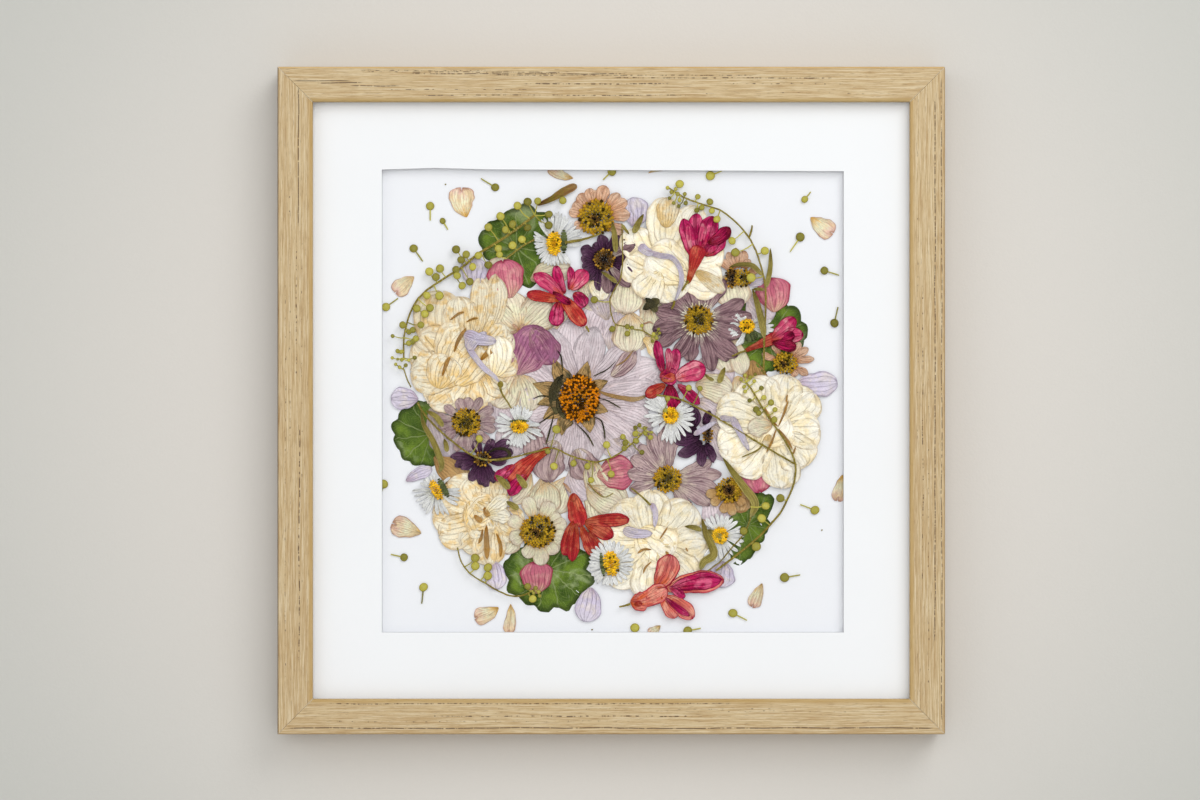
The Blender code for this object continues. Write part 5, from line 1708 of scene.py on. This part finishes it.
def press_loose_pieces():
    made = Specimen("loose_buds", "olive_twig", 1)
    for x, z, radius, far_x, far_z in LOOSE_BUDS:
        made.bud(x, z, radius, (far_x, far_z))
    made.close(bud_material())
    lay("loose_peach_petals", "loose_peach", "peach_petal", 0.5, LOOSE_PETALS, shape="fan", tip=0.2,
        notch=0.12, size="large", crumple=1.6, frill=1.6)
    specks = Specimen("loose_specks", "olive_twig", 0)
    for x, z in ((-82.4, 107.5), (-9.5, -114), (104.8, -64.5)):
        specks.pip(x, z, 0.5, 0.35, 0.2, specks.chance.uniform(0, 90), sides=2)
    specks.close(twig_material())


# ---------------------------------------------------------------- the frame and the stage


def give(node, material):
    """Puts a finish on a CAD node."""
    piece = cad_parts[node]
    for holder in piece.material_slots:
        holder.material = material
    if not piece.material_slots:
        piece.data.materials.append(material)


def finish_moulding():
    for side, node in RAILS.items():
        give(node, oak_material(side))


def finish_glazing():
    colours = settings().moulding
    give("glass_pane", glass_material())
    # The mat's cut edges get a grey of painted shade.
    give("mat_board", card_material("mat card", colours.mat, edge=srgb(206, 207, 210)))
    give("mounting_sheet", card_material("mounting paper", colours.sheet, 1400.0, 0.95, 0.00004))
    give("backing_board", hardboard_material())


def finish_hardware():
    plated = steel_material("hanger steel", 0.34)
    dull = steel_material("tab steel", 0.46)
    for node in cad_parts:
        if node.startswith(("sawtooth", "hanger_nail")):
            give(node, plated)
        elif node.startswith("tab_"):
            give(node, dull)


def set_stage():
    stage = settings().stage
    low, high = (Vector(corner) for corner in CAD_BOX)
    bpy.ops.object.select_all(action="DESELECT")
    bpy.ops.mesh.primitive_plane_add(size=1.6, rotation=(math.pi / 2, 0, 0),
                                     location=(MIDDLE_X, high.y + 0.0002, MIDDLE_Z))
    wall = bpy.context.object
    bpy.ops.object.transform_apply(location=True, rotation=True, scale=True)
    wall.name = "wall"
    # The frame's own back keeps the light of the room, as if it were off the wall.
    wall.visible_diffuse = False
    wall.visible_shadow = False
    wall.data.materials.append(wall_material())
    bpy.ops.object.select_all(action="DESELECT")
    bpy.ops.mesh.primitive_plane_add(size=6.0, location=(MIDDLE_X, -1.0, low.z - 0.75))
    floor = bpy.context.object
    bpy.ops.object.transform_apply(location=True, rotation=True, scale=True)
    floor.name = "floor"
    floor.data.materials.append(card_material("floor paint", srgb(232, 230, 226), 60.0))

    middle = Vector((MIDDLE_X, 0, MIDDLE_Z))
    for name, place, size, power in (
        ("key light", Vector((0.85, -1.25, 1.15)), 1.1, stage.key_power),
        ("soft light", Vector((-1.3, -1.3, 0.4)), 1.4, stage.key_power * 0.3),
        ("front light", Vector((0.1, -2.3, 0.4)), 1.5, stage.key_power * 1.5),
    ):
        light = bpy.data.lights.new(name, "AREA")
        light.shape = "DISK"
        light.size = size
        light.energy = power
        lamp = bpy.data.objects.new(name, light)
        bpy.context.scene.collection.objects.link(lamp)
        lamp.location = middle + place
        lamp.rotation_euler = (-place).to_track_quat("-Z", "Y").to_euler()
        lamp.visible_glossy = name == "key light"

    world = bpy.data.worlds.new("soft room")
    world.use_nodes = True
    world.node_tree.nodes["Background"].inputs["Color"].default_value = (*srgb(250, 250, 252), 1)
    world.node_tree.nodes["Background"].inputs["Strength"].default_value = stage.fill
    bpy.context.scene.world = world
    bpy.context.scene.view_settings.view_transform = "Standard"

    camera = bpy.data.objects.new("camera", bpy.data.cameras.new("camera"))
    camera.data.lens = stage.lens
    camera.data.sensor_width = 36.0
    camera.data.clip_start = 0.05
    camera.location = (MIDDLE_X - 0.00556, low.y - stage.distance, MIDDLE_Z + 0.00025)
    camera.rotation_euler = (math.pi / 2, 0, 0)
    bpy.context.scene.collection.objects.link(camera)
    bpy.context.scene.camera = camera


# ---------------------------------------------------------------- operators and panel


class FLOWERFRAME_OT_moulding(bpy.types.Operator):
    """Give the four oak rails their grain and splits"""
    bl_idname = "flowerframe.moulding"
    bl_label = "Finish the Oak Moulding"

    def execute(self, context):
        finish_moulding()
        return {"FINISHED"}


class FLOWERFRAME_OT_glazing(bpy.types.Operator):
    """Finish the glass, mat, paper and backing board"""
    bl_idname = "flowerframe.glazing"
    bl_label = "Finish the Glass and Boards"

    def execute(self, context):
        finish_glazing()
        return {"FINISHED"}


class FLOWERFRAME_OT_hardware(bpy.types.Operator):
    """Finish the hanger, its nails and the metal tabs"""
    bl_idname = "flowerframe.hardware"
    bl_label = "Finish the Metal Parts"

    def execute(self, context):
        finish_hardware()
        return {"FINISHED"}


class FLOWERFRAME_OT_leaves(bpy.types.Operator):
    """Press the broad scalloped leaves"""
    bl_idname = "flowerframe.leaves"
    bl_label = "Press the Broad Leaves"

    def execute(self, context):
        press_leaves()
        return {"FINISHED"}


class FLOWERFRAME_OT_cosmos(bpy.types.Operator):
    """Press the large pale flower in the middle"""
    bl_idname = "flowerframe.cosmos"
    bl_label = "Press the Middle Flower"

    def execute(self, context):
        press_cosmos()
        return {"FINISHED"}


class FLOWERFRAME_OT_florets(bpy.types.Operator):
    """Press the flat mauve, rose and lilac florets"""
    bl_idname = "flowerframe.florets"
    bl_label = "Press the Flat Florets"

    def execute(self, context):
        press_florets()
        return {"FINISHED"}


class FLOWERFRAME_OT_carnations(bpy.types.Operator):
    """Press the two cream carnations"""
    bl_idname = "flowerframe.carnations"
    bl_label = "Press the Carnations"

    def execute(self, context):
        press_carnations()
        return {"FINISHED"}


class FLOWERFRAME_OT_cream_flowers(bpy.types.Operator):
    """Press the three broad cream flowers"""
    bl_idname = "flowerframe.cream_flowers"
    bl_label = "Press the Cream Flowers"

    def execute(self, context):
        press_cream_flowers()
        return {"FINISHED"}


class FLOWERFRAME_OT_daisies(bpy.types.Operator):
    """Press the coloured daisies"""
    bl_idname = "flowerframe.daisies"
    bl_label = "Press the Coloured Daisies"

    def execute(self, context):
        press_daisies()
        return {"FINISHED"}


class FLOWERFRAME_OT_white_daisies(bpy.types.Operator):
    """Press the small white daisies"""
    bl_idname = "flowerframe.white_daisies"
    bl_label = "Press the White Daisies"

    def execute(self, context):
        press_white_daisies()
        return {"FINISHED"}


class FLOWERFRAME_OT_crimson_flowers(bpy.types.Operator):
    """Press the crimson stars and trumpets"""
    bl_idname = "flowerframe.crimson_flowers"
    bl_label = "Press the Crimson Flowers"

    def execute(self, context):
        press_crimson_flowers()
        return {"FINISHED"}


class FLOWERFRAME_OT_salmon_flowers(bpy.types.Operator):
    """Press the salmon and orange trumpets"""
    bl_idname = "flowerframe.salmon_flowers"
    bl_label = "Press the Salmon Flowers"

    def execute(self, context):
        press_salmon_flowers()
        return {"FINISHED"}


class FLOWERFRAME_OT_lilac_tubes(bpy.types.Operator):
    """Press the lilac tube flowers"""
    bl_idname = "flowerframe.lilac_tubes"
    bl_label = "Press the Lilac Tubes"

    def execute(self, context):
        press_lilac_tubes()
        return {"FINISHED"}


class FLOWERFRAME_OT_olive_leaves(bpy.types.Operator):
    """Press the narrow olive leaves"""
    bl_idname = "flowerframe.olive_leaves"
    bl_label = "Press the Narrow Leaves"

    def execute(self, context):
        press_olive_leaves()
        return {"FINISHED"}


class FLOWERFRAME_OT_twigs(bpy.types.Operator):
    """Press the twigs and their round buds"""
    bl_idname = "flowerframe.twigs"
    bl_label = "Press the Bud Twigs"

    def execute(self, context):
        press_twigs()
        return {"FINISHED"}


class FLOWERFRAME_OT_loose_pieces(bpy.types.Operator):
    """Scatter the loose buds and petals in the margin"""
    bl_idname = "flowerframe.loose_pieces"
    bl_label = "Scatter the Loose Pieces"

    def execute(self, context):
        press_loose_pieces()
        return {"FINISHED"}


class FLOWERFRAME_OT_stage(bpy.types.Operator):
    """Set the wall, floor, lights and camera"""
    bl_idname = "flowerframe.stage"
    bl_label = "Set the Stage"

    def execute(self, context):
        set_stage()
        return {"FINISHED"}


OPERATORS = (
    FLOWERFRAME_OT_moulding, FLOWERFRAME_OT_glazing, FLOWERFRAME_OT_hardware,
    FLOWERFRAME_OT_leaves, FLOWERFRAME_OT_cosmos, FLOWERFRAME_OT_florets,
    FLOWERFRAME_OT_carnations, FLOWERFRAME_OT_cream_flowers, FLOWERFRAME_OT_daisies,
    FLOWERFRAME_OT_white_daisies, FLOWERFRAME_OT_crimson_flowers,
    FLOWERFRAME_OT_salmon_flowers, FLOWERFRAME_OT_lilac_tubes, FLOWERFRAME_OT_olive_leaves,
    FLOWERFRAME_OT_twigs, FLOWERFRAME_OT_loose_pieces, FLOWERFRAME_OT_stage,
)


class FLOWERFRAME_PT_panel(bpy.types.Panel):
    """Everything that makes the pressed flower frame"""
    bl_label = "Flower Frame"
    bl_idname = "FLOWERFRAME_PT_panel"
    bl_space_type = "VIEW_3D"
    bl_region_type = "UI"
    bl_category = "Flower Frame"

    def draw(self, context):
        made = context.scene.flower_frame
        for group in (made.press, made.petals, made.moulding, made.stage):
            box = self.layout.box()
            for key in group.bl_rna.properties.keys():
                if key not in ("rna_type", "name"):
                    box.prop(group, key)
        for operator in OPERATORS:
            self.layout.operator(operator.bl_idname)


class FlowerFrameSettings(bpy.types.PropertyGroup):
    """Every size and colour of the piece."""
    press: bpy.props.PointerProperty(type=PressSettings)
    petals: bpy.props.PointerProperty(type=PetalColours)
    moulding: bpy.props.PointerProperty(type=MouldingColours)
    stage: bpy.props.PointerProperty(type=StageSettings)


CLASSES = (
    PressSettings, PetalColours, MouldingColours, StageSettings, FlowerFrameSettings,
    *OPERATORS, FLOWERFRAME_PT_panel,
)


def register():
    for kind in CLASSES:
        bpy.utils.register_class(kind)
    bpy.types.Scene.flower_frame = bpy.props.PointerProperty(type=FlowerFrameSettings)


def unregister():
    del bpy.types.Scene.flower_frame
    for kind in reversed(CLASSES):
        bpy.utils.unregister_class(kind)


def main():
    register()
    for operator in OPERATORS:
        family, name = operator.bl_idname.split(".")
        getattr(getattr(bpy.ops, family), name)()
    for mesh in [mesh for mesh in bpy.data.meshes if mesh.name.startswith("blank")]:
        bpy.data.meshes.remove(mesh)
    bpy.context.view_layer.update()


if __name__ == "__main__":
    main()
